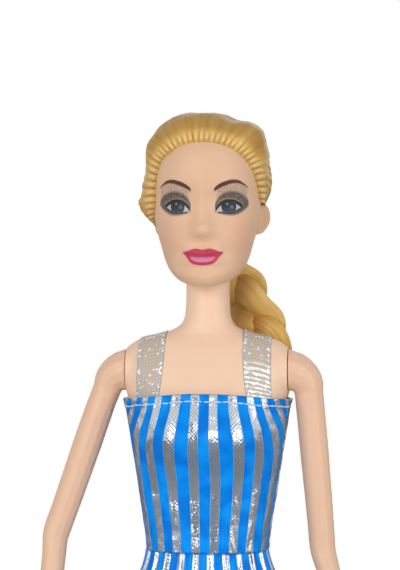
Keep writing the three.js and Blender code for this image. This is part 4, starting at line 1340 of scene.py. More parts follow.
        # Shares of the palm's length, and of its half width and half depth there
        palm = ((0.15, 0.68, 1.2), (0.35, 0.84, 1.08), (0.6, 0.98, 0.98), (0.85, 1, 0.85), (1, 0.9, 0.7))
        for share, wide, thick in palm:
            sizes = (self.hand_half_depth * thick, self.hand_half_width * wide)
            sections.append(Section(wrist + hand * (self.palm * share), arm_side, arm_back, sizes))
        mesh = bmesh.new()
        bend_grid(mesh, 40, 200, loft(sections))
        self.add_fingers(mesh, wrist, hand, arm_side, arm_back)
        if side is Side.RIGHT:
            bmesh.ops.scale(mesh, vec=(-1, 1, 1), verts=mesh.verts)
        bmesh.ops.remove_doubles(mesh, verts=mesh.verts, dist=WELD)
        bmesh.ops.recalc_face_normals(mesh, faces=mesh.faces)
        node = f"{side.word}_arm"
        add_node_copy(mesh, node)
        piece = fused(to_object(f"{node}_skin", mesh, self.vinyl), self.hand_grain, 3)
        return in_place_of(piece, node, node)

    def leg(self, side: Side) -> Object:
        """A leg with its arched foot.

        Args:
            side: Which leg.

        Returns:
            The piece.
        """
        right, back, up = Vector((1, 0, 0)), Vector((0, 1, 0)), Vector((0, 0, 1))
        shank = []
        for k in range(40):
            height = mix(17.0, 140.0, k / 39)
            out, behind, wide, deep = self.leg_levels(height)
            knee = bell(height - 91, 5) * 0.35
            shank.append(Section(Vector((out, behind - knee, height)), right, back, (wide, deep)))
        foot = []
        for at, lift, tall, wide in self.foot_stations:
            middle = Vector((7, 8.2 - 27 * at, 4.9 + 15 * lift + (tall - 0.5) * 2.5))
            foot.append(Section(middle, right, up, (4.2 * wide, 5 * tall)))
        mesh = self.shape.closed(self.groin, 176.0, 70)
        inner = self.crotch_half_width + self.gap
        cut_away(mesh, Vector((inner, 0, 0)), Vector((-1, 0, 0)))
        hip = to_object("hip_form", mesh, self.vinyl)
        disc, rise = bmesh.new(), Vector((0, 0, self.shape.hip_height))
        drum(disc, rise, rise + Vector((self.far, 0, 0)), self.hip_radius, 96)
        carved(hip, disc, Cut.TO_SHAPE)
        mesh = bmesh.new()
        mesh.from_mesh(hip.data)
        bpy.data.objects.remove(hip)
        bend_grid(mesh, 56, 200, loft(shank))
        bend_grid(mesh, 40, 80, loft(foot))
        node = f"{side.word}_leg"
        piece = fused(to_object(f"{node}_skin", mesh, self.vinyl), self.grain, 4)
        bore = bmesh.new()
        drum(bore, rise, rise + Vector((self.axle_reach, 0, 0)), self.axle_radius + self.gap)
        carved(piece, bore)
        if side is Side.RIGHT:
            piece.data.transform(Matrix.Scale(-1, 4, (1, 0, 0)))
            piece.data.flip_normals()
        return in_place_of(piece, node, node)

    def shoe(self, side: Side, finish: Material) -> Object:
        """A court shoe, as a smooth skin over its CAD form.

        Args:
            side: Which shoe.
            finish: Its material.

        Returns:
            The piece.
        """
        node = f"{side.word}_shoe"
        mesh = bmesh.new()
        add_node_copy(mesh, node)
        piece = fused(to_object(f"{node}_body", mesh, finish), self.shoe_grain, 5)
        return in_place_of(piece, node, f"{side.word}_leg")


# Head


@dataclass
class Head:
    """The soft head: skull, face and ears. Heights are above the underside of the chin."""

    skin: Material
    height: float = 39.8
    half_width: float = 13.05
    face_depth: float = 15.1
    skull_depth: float = 18.8
    # Shares of the height in front and behind, then of the width, the face's depth and the skull's depth
    rows: Rows = (
        (0.085, 0.116, 0.43, 0.225, 0.39), (0.04, 0.123, 0.51, 0.53, 0.455),
        (0.006, 0.133, 0.53, 0.722, 0.495), (0.025, 0.166, 0.63, 0.828, 0.532),
        (0.065, 0.201, 0.716, 0.887, 0.596), (0.126, 0.251, 0.789, 0.861, 0.702),
        (0.191, 0.312, 0.843, 0.861, 0.809), (0.266, 0.372, 0.904, 0.874, 0.894),
        (0.342, 0.432, 0.95, 0.881, 0.952), (0.422, 0.492, 0.981, 0.874, 0.984),
        (0.503, 0.553, 0.996, 0.887, 1), (0.583, 0.613, 1, 0.96, 1), (0.658, 0.673, 0.989, 1, 0.979),
        (0.729, 0.734, 0.958, 1, 0.931), (0.794, 0.794, 0.897, 0.954, 0.856),
        (0.854, 0.854, 0.797, 0.861, 0.745), (0.91, 0.91, 0.659, 0.715, 0.596),
        (0.955, 0.955, 0.475, 0.517, 0.42), (0.987, 0.987, 0.261, 0.265, 0.239),
        (1, 1, 0.001, 0.001, 0.001),
    )
    ear_half_width: float = 2.5
    ear_half_height: float = 4.3
    ear_height_share: float = 0.415
    ear_reach: float = 2.9
    neck_wall: float = 3.0
    lip_height: float = 6.88
    mouth_half_width: float = 5.2
    # Rises and hollows of the face: depth, distance from the middle and width there, height and its reach
    swells: Rows = (
        (0.28, 1.75, 0.7, 12.3, 0.85),  # wings of the nose
        (-0.14, 1.2, 0.5, 11.4, 0.45),  # nostrils
        (0.55, 0.0, 1.7, 20.8, 3.0),  # root of the nose
        (-0.3, 4.95, 0.8, 7.75, 0.8),  # corners of the mouth
        (-0.2, 0.0, 0.5, 9.9, 0.8),  # groove over the lip
        (-0.4, 0.0, 2.8, 4.0, 0.8),  # hollow under the lip
        (0.6, 0.0, 3.6, 2.3, 2.2),  # chin
        (-0.9, 5.4, 2.9, 19.2, 2.6),  # eye sockets
        (0.8, 6.04, 2.0, 18.6, 1.35),  # eyeballs
        (0.14, 6.04, 2.4, 20.4, 0.35),  # upper lids
        (0.4, 6.5, 3.2, 24.0, 1.7),  # brows
        (0.75, 7.4, 2.8, 12.4, 3.6),  # cheeks
    )
    table: SmoothTable = field(init=False)
    tree: BVHTree = field(init=False)

    def __post_init__(self) -> None:
        """Makes the table of rows."""
        last = len(self.rows) - 1
        self.table = SmoothTable([(k / last, *row) for k, row in enumerate(self.rows)])

    def relief(self, x: float, z: float) -> float:
        """How far the face stands out of the plain head.

        Args:
            x: The distance from the middle of the face.
            z: The height above the chin.

        Returns:
            The distance forward.
        """
        wide, z = abs(x), z / FACE_STRETCH
        bridge = smoothstep(z, 22.5, 13.5) ** 1.15 if z > 13.5 else 1.0
        ridge = 1.7 * bridge * smoothstep(z, 10.0, 12.9) + 0.7 * bell(z - 13.1, 1.3)
        nose = ridge * bell(x, mix(1.4, 1.9, smoothstep(z, 20, 13)))
        mouth = max(1 - (x / self.mouth_half_width) ** 2, 0.0)
        upper = 0.95 * mouth * bell(z - 8.05 + 0.2 * bell(x, 0.8), 0.8)
        lower = 1.15 * mouth**1.3 * bell(z - 5.9, 0.95)
        crease = -0.45 * mouth * bell(z - self.lip_height - 0.035 * x * x, 0.3)
        plain = sum(
            depth * bell(wide - aside, width) * bell(z - level, tall)
            for depth, aside, width, level, tall in self.swells
        )
        return nose + upper + lower + crease + plain

    def point(self, row: float, around: float, with_face: bool = True) -> Vector:
        """A point of the head.

        Args:
            row: The share from the neck opening to the crown.
            around: The share of a turn from the face by the left side.
            with_face: Whether the face stands out.

        Returns:
            The point in the doll's frame.
        """
        face_height, nape_height, width, face, skull = self.table(row)
        angle = around * TURN
        forward = math.cos(angle)
        square = mix(1.0, 0.88, row)
        z = self.height * mix(face_height, nape_height, (1 - forward) / 2)
        x = self.half_width * width * power(math.sin(angle), square)
        depth = self.face_depth * face if forward > 0 else self.skull_depth * skull
        swell = self.relief(x, z) * min(forward * 2, 1.0) if with_face and forward > 0 else 0.0
        swell *= smoothstep(row, 0.03, 0.14)
        return Vector((x, -depth * power(forward, square) - swell, z + CHIN_HEIGHT))

    def build(self) -> Object:
        """The head with its neck opening and its ears.

        Returns:
            The piece.
        """
        crowding = 0.45 / TURN

        def place(across: float, along: float) -> Vector:
            """Crowds the points over the face."""
            around = across - crowding * math.sin(across * TURN)
            return self.point(along, around)

        mesh = bmesh.new()
        bend_grid(mesh, 220, 200, place)
        bmesh.ops.remove_doubles(mesh, verts=mesh.verts, dist=WELD)
        inner = bmesh.ops.extrude_edge_only(mesh, edges=open_edges(mesh))["geom"]
        verts = [v for v in inner if isinstance(v, BMVert)]
        bmesh.ops.translate(mesh, verts=verts, vec=(0, 0, self.neck_wall * MM))
        for side in Side:
            bend_grid(mesh, 48, 30, lambda a, b, side=side: self.ear_point(side, a, b))
        head = to_object("head_vinyl", mesh, self.skin)
        in_place_of(head, "head_shell", "head")
        plain = bmesh.new()
        bend_grid(plain, 90, 90, lambda a, b: self.point(b, a, False))
        bmesh.ops.remove_doubles(plain, verts=plain.verts, dist=WELD)
        bmesh.ops.recalc_face_normals(plain, faces=plain.faces)
        self.tree = BVHTree.FromBMesh(plain)
        plain.free()
        return head

    def ear_point(self, side: Side, around: float, inward: float) -> Vector:
        """A point of an ear: a rim that stands out at the back, round a hollow, with a lobe below.

        Args:
            side: Which ear.
            around: The share of a turn round the ear, from its top backwards.
            inward: The share from its root in the head to the middle of its hollow.

        Returns:
            The point.
        """
        angle = around * TURN
        reach = 1.0 - inward
        behind, upward = math.sin(angle), math.cos(angle)
        narrow = mix(0.66, 1.0, smoothstep(upward, -1.0, 0.4))
        y = NECK_BACK + 0.6 + self.ear_half_width * narrow * reach * behind + 0.5 * upward * reach
        z = self.height * self.ear_height_share + self.ear_half_height * reach * upward
        lying = abs(upward * reach)
        flare = 1 - 0.8 * lying**3 if upward > 0 else 1 - 0.9 * lying**1.9
        rim_height = mix(0.9, self.ear_reach, smoothstep(behind, -0.9, 0.3)) * flare
        rise = smoothstep(inward, 0.0, 0.16)
        hollow = smoothstep(inward, 0.24, 0.5) * smoothstep(upward * reach, -0.75, -0.35)
        fold = 0.4 * bell(inward - 0.5, 0.09) * smoothstep(behind, -0.2, 0.5)
        lift = mix(-1.3, rim_height, rise) - 0.75 * rim_height * hollow + fold
        pressed = 1.0 if side is Side.LEFT else 0.45
        return Vector((side.value * (self.half_width * 0.925 + lift * pressed), y, z + CHIN_HEIGHT))

    def scalp(self, direction: Vector) -> tuple[Vector, Vector]:
        """Where a ray from the middle of the skull leaves the plain head.

        Args:
            direction: The ray's direction.

        Returns:
            The point and the outward normal.
        """
        centre = Vector((0, NECK_BACK, CHIN_HEIGHT + SKULL_RISE)) * MM
        hit, normal, _, _ = self.tree.ray_cast(centre, direction.normalized())
        return hit / MM, normal


# Hair


@dataclass
class Hair:
    """Hair rooted along the hairline, combed back to the nape and plaited over the left of the back."""

    head: Head
    fibre: Material
    plait: Material
    elastic: Material
    gather: tuple[float, float, float] = (4.6, 15.5, 9.8)
    # The hairline from the middle of the nape by the left ear, the forehead and the right ear: X, Y and the
    # height above the chin
    hairline: Rows = (
        (0, 16, 7.5), (5, 14.5, 8.2), (9.5, 10, 10.5), (12.2, 6.5, 14.5), (13, 4.6, 18.9), (13, 1.5, 20.4),
        (13, -2.5, 20.2), (13, -5.2, 23), (12.6, -8, 27), (11.3, -10.6, 30.4), (8.1, -13, 33.4),
        (4, -14.3, 35), (0, -14.6, 35.4), (-5.2, -14, 34.8), (-8.4, -13, 33), (-10.6, -11, 31),
        (-11.9, -9.5, 28), (-12.6, -8, 24), (-12.9, -6.5, 20), (-12.7, -3.8, 17), (-12.2, -0.5, 15.6),
        (-11.6, 4, 14), (-9.5, 9.5, 11), (-5, 14.5, 8.2),
    )
    # Degrees from the crown towards the doll's left, and how far the hair stands off the scalp there
    fullness: SmoothTable = SmoothTable((
        (-125, 0.5), (-116, 1.1), (-108, 2.1), (-97, 3.7), (-91, 4.1), (-86, 4.0), (-80, 3.2), (-72, 2.9),
        (-60, 2.3), (-50, 3.0), (-42, 3.7), (-35, 3.8), (-28, 3.5), (-13, 3.2), (0, 2.5), (13, 2.5),
        (20, 2.7), (26, 3.7), (33, 4.6), (38, 4.3), (42, 3.6), (50, 3.0), (60, 2.6), (68, 2.5),
        (74, 2.35), (80, 2.1), (88, 1.5), (110, 0.9),
    ))
    plug_pitch: float = 1.3
    side_pitch: float = 1.9
    plug_rise: float = 1.1
    braid_length: float = 60.2
    braid_lay: float = 33.0
    braid_start: float = 0.205
    braid_swing: float = 3.65
    braid_twist: float = 32.0
    braid_depth: float = 1.9
    strand_size: Pair = (3.95, 2.0)
    # The share of the braid's length, then the place of its middle there
    route: SmoothTable = SmoothTable((
        (0, 3.6, 15, 262.5), (0.1, 5.2, 15, 257), (0.21, 7.8, 14.8, 251), (0.33, 10.7, 14.6, 244.6),
        (0.45, 13.2, 14.4, 238), (0.61, 13, 14.4, 229), (0.79, 9.6, 15, 219), (0.93, 7.8, 14.8, 211),
        (1, 7.4, 14.6, 207),
    ))
    tuft_sizes: SmoothTable = SmoothTable(((0, 2.3), (0.12, 3.2), (0.5, 3.6), (0.85, 2.4), (1, 0.9)))

    def start(self, share: float) -> Vector:
        """The direction from the middle of the skull to the hairline.

        Args:
            share: The share of the hairline's loop.

        Returns:
            The direction.
        """
        count = len(self.hairline)
        spot = (share % 1.0) * count
        k = int(spot)
        before, low, high, after = (Vector(self.hairline[(k + step) % count]) for step in (-1, 0, 1, 2))
        point = eased(low, high, (high - before) / 2, (after - low) / 2, spot - k)
        return point - Vector((0, NECK_BACK, SKULL_RISE))

    def way(self, share: float, along: float) -> Vector:
        """The direction from the middle of the skull to a fibre that is combed from the hairline to the nape.

        Args:
            share: Where on the hairline the fibre is rooted.
            along: The share of its way to the nape.

        Returns:
            The direction.
        """
        begin = self.start(share)
        finish = Vector(self.gather) - Vector((0, NECK_BACK, SKULL_RISE))
        middle = Vector((begin.x * 1.02, max(begin.y, 0.0) * 0.8 + 7.5, begin.z + max(begin.z, 0) * 0.1))
        return begin * (1 - along) ** 2 + middle * (2 * along * (1 - along)) + finish * along**2

    @staticmethod
    def aside(way: Vector) -> float:
        """How far a direction leans from the crown to the side of the head, as a share."""
        return smoothstep(abs(math.degrees(math.atan2(way.x, way.z))), 40.0, 65.0)

    def plugs(self, steps: int) -> list[float]:
        """Numbers the tufts along the hairline.

        Args:
            steps: How many places of the hairline are numbered.

        Returns:
            The number of the tuft at each place, fractions included, from 0 to a whole number.
        """
        numbers = [0.0]
        for k in range(steps):
            low, high = self.start(k / steps), self.start((k + 1) / steps)
            pitch = mix(self.plug_pitch, self.side_pitch, self.aside(low))
            numbers.append(numbers[-1] + (high - low).length / pitch)
        scale = round(numbers[-1]) / numbers[-1]
        return [number * scale for number in numbers]

    def depth(self, way: Vector, run: float, along: float) -> float:
        """How far the combed hair stands off the scalp.

        Args:
            way: The direction from the middle of the skull.
            run: The distance from the hairline.
            along: The share of the way to the nape.

        Returns:
            The depth.
        """
        full = self.fullness(math.degrees(math.atan2(way.x, way.z)))[0]
        full = mix(full, 2.3, smoothstep(way.normalized().y, 0.3, 0.75))
        full += 0.7 * smoothstep(along, 0.8, 1.0)
        edge = self.plug_rise * math.sqrt(1 - (1 - min(run / self.plug_rise, 1.0)) ** 2)
        return edge + (full - self.plug_rise) * smoothstep(run, 0.2, 6.5)

    def combed(self) -> Object:
        """The rooted hair: one full sheet, ridged by its tufts in front and by combed locks behind.

        Returns:
            The piece.
        """
        across, along = 660, 100
        numbers = self.plugs(across)
        grid: list[list[Vector]] = []
        maps: list[list[Pair]] = []
        rows = [(j / along) ** 1.5 for j in range(along + 1)]
        hits = [[self.head.scalp(self.way(k / across, row)) for row in rows] for k in range(across)]
        hits.append(hits[0])
        for k in range(across + 1):
            run, column, labels = 0.0, [], []
            before, after = hits[(k - 1) % across], hits[(k + 1) % across]
            for j, row in enumerate(rows):
                point, normal = hits[k][j]
                if j:
                    run += (point - hits[k][j - 1][0]).length
                share = (numbers[k] % 1.0) * 2 - 1
                step = max((numbers[(k + 1) % across] - numbers[k]) % numbers[-1], 0.02)
                pitch = (after[j][0] - before[j][0]).length / (2 * step)
                crowd = min(pitch / self.plug_pitch, 1.0)
                crown = math.sqrt(max(1 - share * share, 0.0)) - 0.7
                height = 0.75 + 0.5 * noise.noise(Vector((math.floor(numbers[k]) * 5.3, 0.0, 2.0)))
                way = self.way(k / across, row)
                aside = self.aside(way)
                fall = smoothstep(run, 1.2, mix(3.0, 4.4, aside))
                tuft = crown * crowd * height * mix(0.66, mix(0.04, 0.34, aside), fall)
                streak = 0.2 * noise.noise(Vector((numbers[k] * 0.55, run * 0.08, 1.0)))
                streak += 0.07 * noise.noise(Vector((numbers[k] * 1.9, run * 0.12, 4.0)))
                lump = 0.75 * noise.noise(point * 0.24) * smoothstep(run, 3.0, 8.0)
                streak *= crowd * smoothstep(run, 1.0, 3.5)
                lift = self.depth(way, run, row) + (tuft + streak + lump) * smoothstep(run, 0.0, 0.6)
                column.append(point + normal * (lift - 0.3))
                labels.append((numbers[k] * self.plug_pitch, run))
            grid.append(column)
            maps.append(labels)
        mesh = bmesh.new()
        bend_grid(mesh, across, along, lambda a, b: grid[round(a * across)][round(b * along)])
        remap(mesh, lambda a, b: maps[round(a * across)][round(b * along)])
        return in_place_of(to_object("hair_combed", mesh, self.fibre), "hair_cap", "head")

    def braid_frame(self, share: float) -> tuple[Vector, Vector, Vector, Vector]:
        """The middle of the braid at a share of its length, with its directions.

        Args:
            share: The share of its length.

        Returns:
            Place, direction, sideways and away from the back.
        """
        point = Vector(self.route(share))
        way = (Vector(self.route(share + 0.01)) - Vector(self.route(share - 0.01))).normalized()
        outward = (Vector((0, 1, 0)) - way * way.y).normalized()
        sideways = outward.cross(way).normalized()
        twist = math.radians(self.braid_twist) * smoothstep(share, 0.55, 0.25)
        turned = (sideways * math.cos(twist) + outward * math.sin(twist)).normalized()
        return point, way, turned, (outward * math.cos(twist) - sideways * math.sin(twist)).normalized()

    def braid(self) -> Object:
        """The braid of three strands.

        Returns:
            The piece.
        """
        mesh = bmesh.new()
        pace = self.braid_length * TURN / self.braid_lay
        for k in range(3):
            phase = (k / 3 + self.braid_start) * TURN

            def place(around: float, along: float, phase: float = phase) -> Vector:
                """The skin of one strand, a broad bundle that swings from side to side."""
                point, way, sideways, outward = self.braid_frame(along)
                turn = along * pace + phase
                full = mix(0.78, 1.0, smoothstep(along, 0.0, 0.2)) * mix(1.0, 0.8, along)
                bound = smoothstep(along, -0.03, 0.24) * mix(0.35, 1.0, smoothstep(along, 1.0, 0.93))
                full *= mix(0.62, 1.0, smoothstep(along, 1.0, 0.94))
                swing, sink = self.braid_swing * full * bound, self.braid_depth * full * mix(0.5, 1.0, bound)
                reach = (math.sin(turn) + 0.15 * math.sin(3 * turn)) / 0.9
                middle = point + sideways * (swing * reach) - outward * (sink * math.sin(2 * turn))
                slope = TURN / self.braid_lay
                ahead = way + sideways * (swing * slope * (math.cos(turn) + 0.45 * math.cos(3 * turn)) / 0.9)
                ahead -= outward * (sink * 2 * slope * math.cos(2 * turn))
                across = outward.cross(ahead).normalized()
                out = ahead.cross(across).normalized()
                angle = around * TURN
                spot = Vector((math.cos(angle) * 3, math.sin(angle) * 3, along * 5 + phase))
                ridge = 1 + 0.035 * noise.noise(spot)
                close = full * ridge if 0.0 < along < 1.0 else 0.0
                wide, thick = (size * close for size in self.strand_size)
                return middle + across * (wide * math.cos(angle)) + out * (thick * math.sin(angle))

            shift = self.braid_lay * (k / 3 + self.braid_start) + self.braid_lay
            bend_grid(mesh, 60, 150, place, (16.0, self.braid_length), shift)
        piece = to_object("braid_strands", mesh, self.plait)
        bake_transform(piece)
        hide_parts("braid")
        return piece

    def tail(self) -> list[Object]:
        """The elastic band and the loose tuft under it.

        Returns:
            The pieces.
        """
        point, way, sideways, outward = self.braid_frame(1.0)
        band_mesh = bmesh.new()

        def wound(around: float, along: float) -> Vector:
            """Elastic wound four times round the hair."""
            angle, ring = around * TURN, along * TURN
            bulge = 0.55 * math.cos(ring)
            radius = 2.95 + bulge + 0.12 * math.cos(4 * ring)
            spoke = sideways * math.cos(angle) + outward * (0.82 * math.sin(angle))
            return point + way * (1.6 + 1.3 * math.sin(ring)) + spoke * radius

        bend_grid(band_mesh, 48, 32, wound, (12, 4))
        band = to_object("braid_elastic", band_mesh, self.elastic)
        tuft_mesh = bmesh.new()

        def brush(around: float, along: float) -> Vector:
            """A ridged tuft that narrows to its tip."""
            angle = around * TURN
            size = self.tuft_sizes(along)[0]
            ridge = 1 + 0.1 * math.cos(angle * 7 + along * 3) + 0.05 * math.cos(angle * 15)
            radius = size * ridge * (1.0 if 0 < along < 1 else 0.0)
            sway = sideways * (0.5 * math.sin(along * 4))
            spoke = sideways * math.cos(angle) + outward * (0.72 * math.sin(angle))
            return point + sway + way * (2.0 + 15.8 * along) + spoke * radius

        bend_grid(tuft_mesh, 60, 50, brush, (6, 3))
        tuft = to_object("braid_tail", tuft_mesh, self.fibre)
        return [
            in_place_of(band, "braid_band", "torso"),
            in_place_of(tuft, "braid_tuft", "torso"),
        ]


# Dress


@dataclass
class Dress:
    """The dress: a fitted bodice with a wrapped back, two straps and a skirt in two halves."""

    shape: BodyShape
    cloth: Material
    glitter: Material
    thread: Material
    tape: Material
    top: float = 226.3
    waist: float = 190.0
    hem: float = 131.0
    clear: float = 0.4
    thick: float = 0.5
    side_turn: float = 0.266
    stripes: int = 22
    stripe_shift: float = 0.27
    folds: int = 11
    bust_girth: float = 104.0
    strap_thick: float = 0.22
    strap_cells: tuple[int, int] = (9, 62)
    tape_thick: float = 0.35
    # How far the left back stands over the right one, and the turns between which it rises
    lap_rise: float = 1.75
    lap: float = 5.2
    lap_turns: Pair = (0.478, 0.5)
    # Height, how much wider the front's stripes lie there than round the bust, and how that grows from
    # stripe to stripe
    spread: SmoothTable = SmoothTable((
        (190, 1.18, 0.03), (208, 1.2, 0.03), (214.7, 1.16, 0.03), (219, 1.05, 0.03), (222.3, 0.95, 0.02),
        (226.3, 0.88, 0.0), (227.4, 0.87, 0.0),
    ))
    girth: list[float] = field(init=False)

    def __post_init__(self) -> None:
        """Measures the bodice round the bust, so that stripes keep an even width."""
        steps = 240
        points = [self.shape.point(k / steps, self.shape.bust_height) for k in range(steps + 1)]
        lengths = [0.0]
        for low, high in zip(points, points[1:]):
            lengths.append(lengths[-1] + (high - low).length)
        self.girth = [value / lengths[-1] for value in lengths]

    def stripe_at(self, turn: float) -> float:
        """How many stripes lie between the front and a place round the body.

        Args:
            turn: The share of a turn from the front by the left side.

        Returns:
            The number of stripes.
        """
        spot = (turn % 1.0) * (len(self.girth) - 1)
        k = min(int(spot), len(self.girth) - 2)
        share = mix(self.girth[k], self.girth[k + 1], spot - k)
        return (share + math.floor(turn)) * self.stripes

    def front_stripe_at(self, turn: float, height: float) -> float:
        """The same for the bodice's front, whose stripes spread over the bust, at a height."""
        spot = self.stripe_at(turn)
        reach, growth = self.spread(height)
        return spot / (reach * (1 + growth * abs(spot))) - 0.08

    def bodice_point(self, turn: float, height: float, offset: float = 0.0) -> Vector:
        """A point of the bodice's outside, with its hem and small creases.

        Args:
            turn: The share of a turn from the front by the left side.
            height: The height above the floor.
            offset: How much further out it lies.

        Returns:
            The point.
        """
        down = self.top - height
        near = (turn + 0.5) % 1.0 - 0.5
        dip = 0.95 * bell(near, 0.07) + 0.14 * noise.noise(Vector((near * 26, 0, 8.0)))
        height += dip * max(1 - down / 30, 0)
        hem = 0.22 * smoothstep(down, 2.3, 1.9) - 0.2 * bell(down - 1.5, 0.28)
        lean = noise.noise(Vector((turn * 60, height * 0.12, 0.0)))
        crease = 0.16 * lean + 0.1 * noise.noise(Vector((turn * 130, height * 0.5, 3.0)))
        pucker = 0.12 * math.cos(self.stripe_at(turn) * TURN * 1.5) * bell(down - 1.6, 1.6)
        return self.shape.off(turn, height, self.clear + self.thick + hem + crease + pucker + offset)

    def cloth_piece(
        self, name: str, turns: Pair, heights: Pair, place: Place, shape: tuple[int, int]
    ) -> Object:
        """A piece of striped cloth over a range of turns and heights.

        Args:
            name: Its name.
            turns: The range round the body.
            heights: The range of heights, from the top.
            place: The point at a turn and a height.
            shape: Faces across and down.

        Returns:
            The piece.
        """
        in_front = name.startswith("bodice_front")

        def chart(across: float, down: float) -> Pair:
            """Counts stripes across the cloth and units of five millimetres up it."""
            turn, height = mix(*turns, across), mix(*heights, down)
            stripe = self.front_stripe_at(turn, height) if in_front else self.stripe_at(turn)
            return stripe + self.stripe_shift, height / 5.0

        mesh = bmesh.new()
        bend_grid(mesh, *shape, lambda a, b: place(mix(*turns, a), mix(*heights, b)))
        remap(mesh, chart)
        piece = thickened(to_object(name, mesh, self.cloth), self.thick)
        return piece

    def bodice(self) -> list[Object]:
        """The bodice's front and its two backs.

        Returns:
            The pieces.
        """
        heights = (self.top, self.waist)
        over = 0.5 + self.lap / self.bust_girth

        def wrapped(turn: float, height: float) -> Vector:
            """The left back rises over the right one past the middle."""
            return self.bodice_point(turn, height, self.lap_rise * smoothstep(turn, *self.lap_turns))

        parts = (
            ("bodice_front", (-self.side_turn, self.side_turn), self.bodice_point, 190),
            ("bodice_back_left", (self.side_turn + 0.001, over), wrapped, 100),
            ("bodice_back_right", (-0.498, -self.side_turn - 0.001), self.bodice_point, 90),
        )
        pieces = []
        for node, turns, place, across in parts:
            piece = self.cloth_piece(f"{node}_cloth", turns, heights, place, (across, 110))
            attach(piece, "torso")
            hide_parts(node)
            behind = "torso_front_skin" if node == "bodice_front" else "torso_back_skin"
            width = abs(turns[1] - turns[0]) * self.bust_girth * MM
            pieces.append(piece)
        return pieces

    def stitches(self) -> Object:
        """The row of top stitching under the bodice's edge.

        Returns:
            The piece.
        """
        mesh = bmesh.new()
        count, level, raised, half_thick, half_wide = 74, self.top - 1.75, 0.12, 0.14, 0.17
        for k in range(count):
            turn = (k + 0.5) / count
            extra = self.lap_rise * smoothstep(turn, *self.lap_turns) if turn < 0.545 else 0.0
            start, end = (
                self.bodice_point(turn + shift / count, level + 0.1 * math.sin(7 * k), raised + extra)
                for shift in (-0.45, 0.45)
            )
            out = self.shape.normal(turn, level)
            up = out.cross((end - start).normalized()).normalized()
            parts = []
            for t, size in ((0, 0.6), (0.25, 1), (0.75, 1), (1, 0.6)):
                middle = start.lerp(end, t) - out * (raised * (2 * t - 1) ** 2)
                parts.append(Section(middle, out, up, (half_thick * size, half_wide * size)))
            bend_grid(mesh, 8, 8, loft(parts))
        piece = to_object("bodice_stitching", mesh, self.thread)
        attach(piece, "torso")
        return piece

    def strap(self, side: Side, middle: float, lean: float) -> Object:
        """A shoulder strap, from inside the front edge to inside the back edge.

        Args:
            side: Which strap.
            middle: How far its middle is from the middle of the body.
            lean: How much further out it is fixed to the edge than it crosses the shoulder.

        Returns:
            The piece.
        """
        tree = self.shape.tree()
        centre_height = 224.0

        def place(across: float, along: float) -> Vector:
            """The strap lies on the shoulder and stands a little off the chest."""
            crest = math.sin(math.pi * min(max(along, 0.0), 1.0))
            half = mix(2.6, 3.25, crest)
            x = side.value * (middle + lean * (1 - crest) + mix(-half, half, across))
            angle = mix(-0.02, 1.02, along) * math.pi
            way = Vector((0, -math.cos(angle), math.sin(angle)))
            origin = Vector((x, 0, centre_height)) * MM
            hit, normal, _, _ = tree.ray_cast(origin + way * 0.06, -way)
            sag = 0.55 * math.sin(math.pi * along) ** 2
            ripple = 0.1 * noise.noise(Vector((x * 0.5, along * 9, 5.0)))
            return hit / MM + normal * (0.25 + 0.1 * sag + ripple)

        mesh = bmesh.new()
        bend_grid(mesh, 20, 90, place, self.strap_cells)
        piece = thickened(to_object(f"{side.word}_strap_mesh", mesh, self.glitter), self.strap_thick)
        return in_place_of(piece, f"{side.word}_strap", "torso")

    def closure(self) -> list[Object]:
        """The hook-and-loop tapes between the two backs.

        Returns:
            The pieces.
        """
        turns = (0.506, 0.506 + 4 / self.bust_girth)
        heights = (self.top - 0.6, self.waist + 0.5)
        pieces = []
        for node, lift in (("closure_loop_tape", 0.45), ("closure_hook_tape", 1.0)):

            def place(across: float, down: float, lift: float = lift) -> Vector:
                """The tape lies on the back at its own height over the skin."""
                turn, height = mix(*turns, across), mix(*heights, down)
                return self.shape.off(turn, height, self.clear + self.thick + lift)

            mesh = bmesh.new()
            bend_grid(mesh, 16, 90, place)
            piece = thickened(to_object(f"{node}_cloth", mesh, self.tape), self.tape_thick)
            pieces.append(in_place_of(piece, node, "torso"))
        return pieces

    def skirt_point(self, turn: float, height: float, offset: float = 0.0) -> Vector:
        """A point of the skirt's outside.

        Args:
            turn: The share of a turn from the front by the left side.
            height: The height above the floor.
            offset: How much further out it lies.

        Returns:
            The point.
        """
        share = (self.waist - height) / (self.waist - self.hem)
        hips = min((self.waist - height) / 30.0, 1.0)
        half_width, front, back = self.shape.levels(max(height, self.shape.hip_height))
        flare = smoothstep(share, 0.0, 1.0)
        angle = turn * TURN
        forward = math.cos(angle)
        fold = 1.1 * math.cos(angle * self.folds) + 0.35 * math.cos(angle * 23 + 1.1)
        fold = fold * share + 0.25 * math.cos(angle * 44 + 0.7) * bell(share, 0.12)
        fold += 0.3 * noise.noise(Vector((turn * 30, height * 0.06, 9.0))) * share

        def reach(body: float, hem: float) -> float:
            """How far out the cloth hangs."""
            close = body + 4.4 * hips
            return mix(close, max(hem, close), flare) + self.clear + self.thick + offset + fold

        wide, deep = reach(half_width, 26.6), reach(front, 22.5) if forward > 0 else reach(back, 23.5)
        edge = 0.25 * smoothstep(height, self.hem + 3.2, self.hem + 2.8)
        x = (wide + edge) * power(math.sin(angle), 0.85)
        return Vector((x, -(deep + edge) * power(forward, 0.85), height))

    def skirt(self) -> list[Object]:
        """The two halves of the skirt.

        Returns:
            The pieces.
        """
        pieces = []
        for side in Side:
            lap = 0.007 if side is Side.LEFT else -0.004
            turns = (-lap, 0.5 + lap) if side is Side.LEFT else (0.5 - lap, 1.0 + lap)

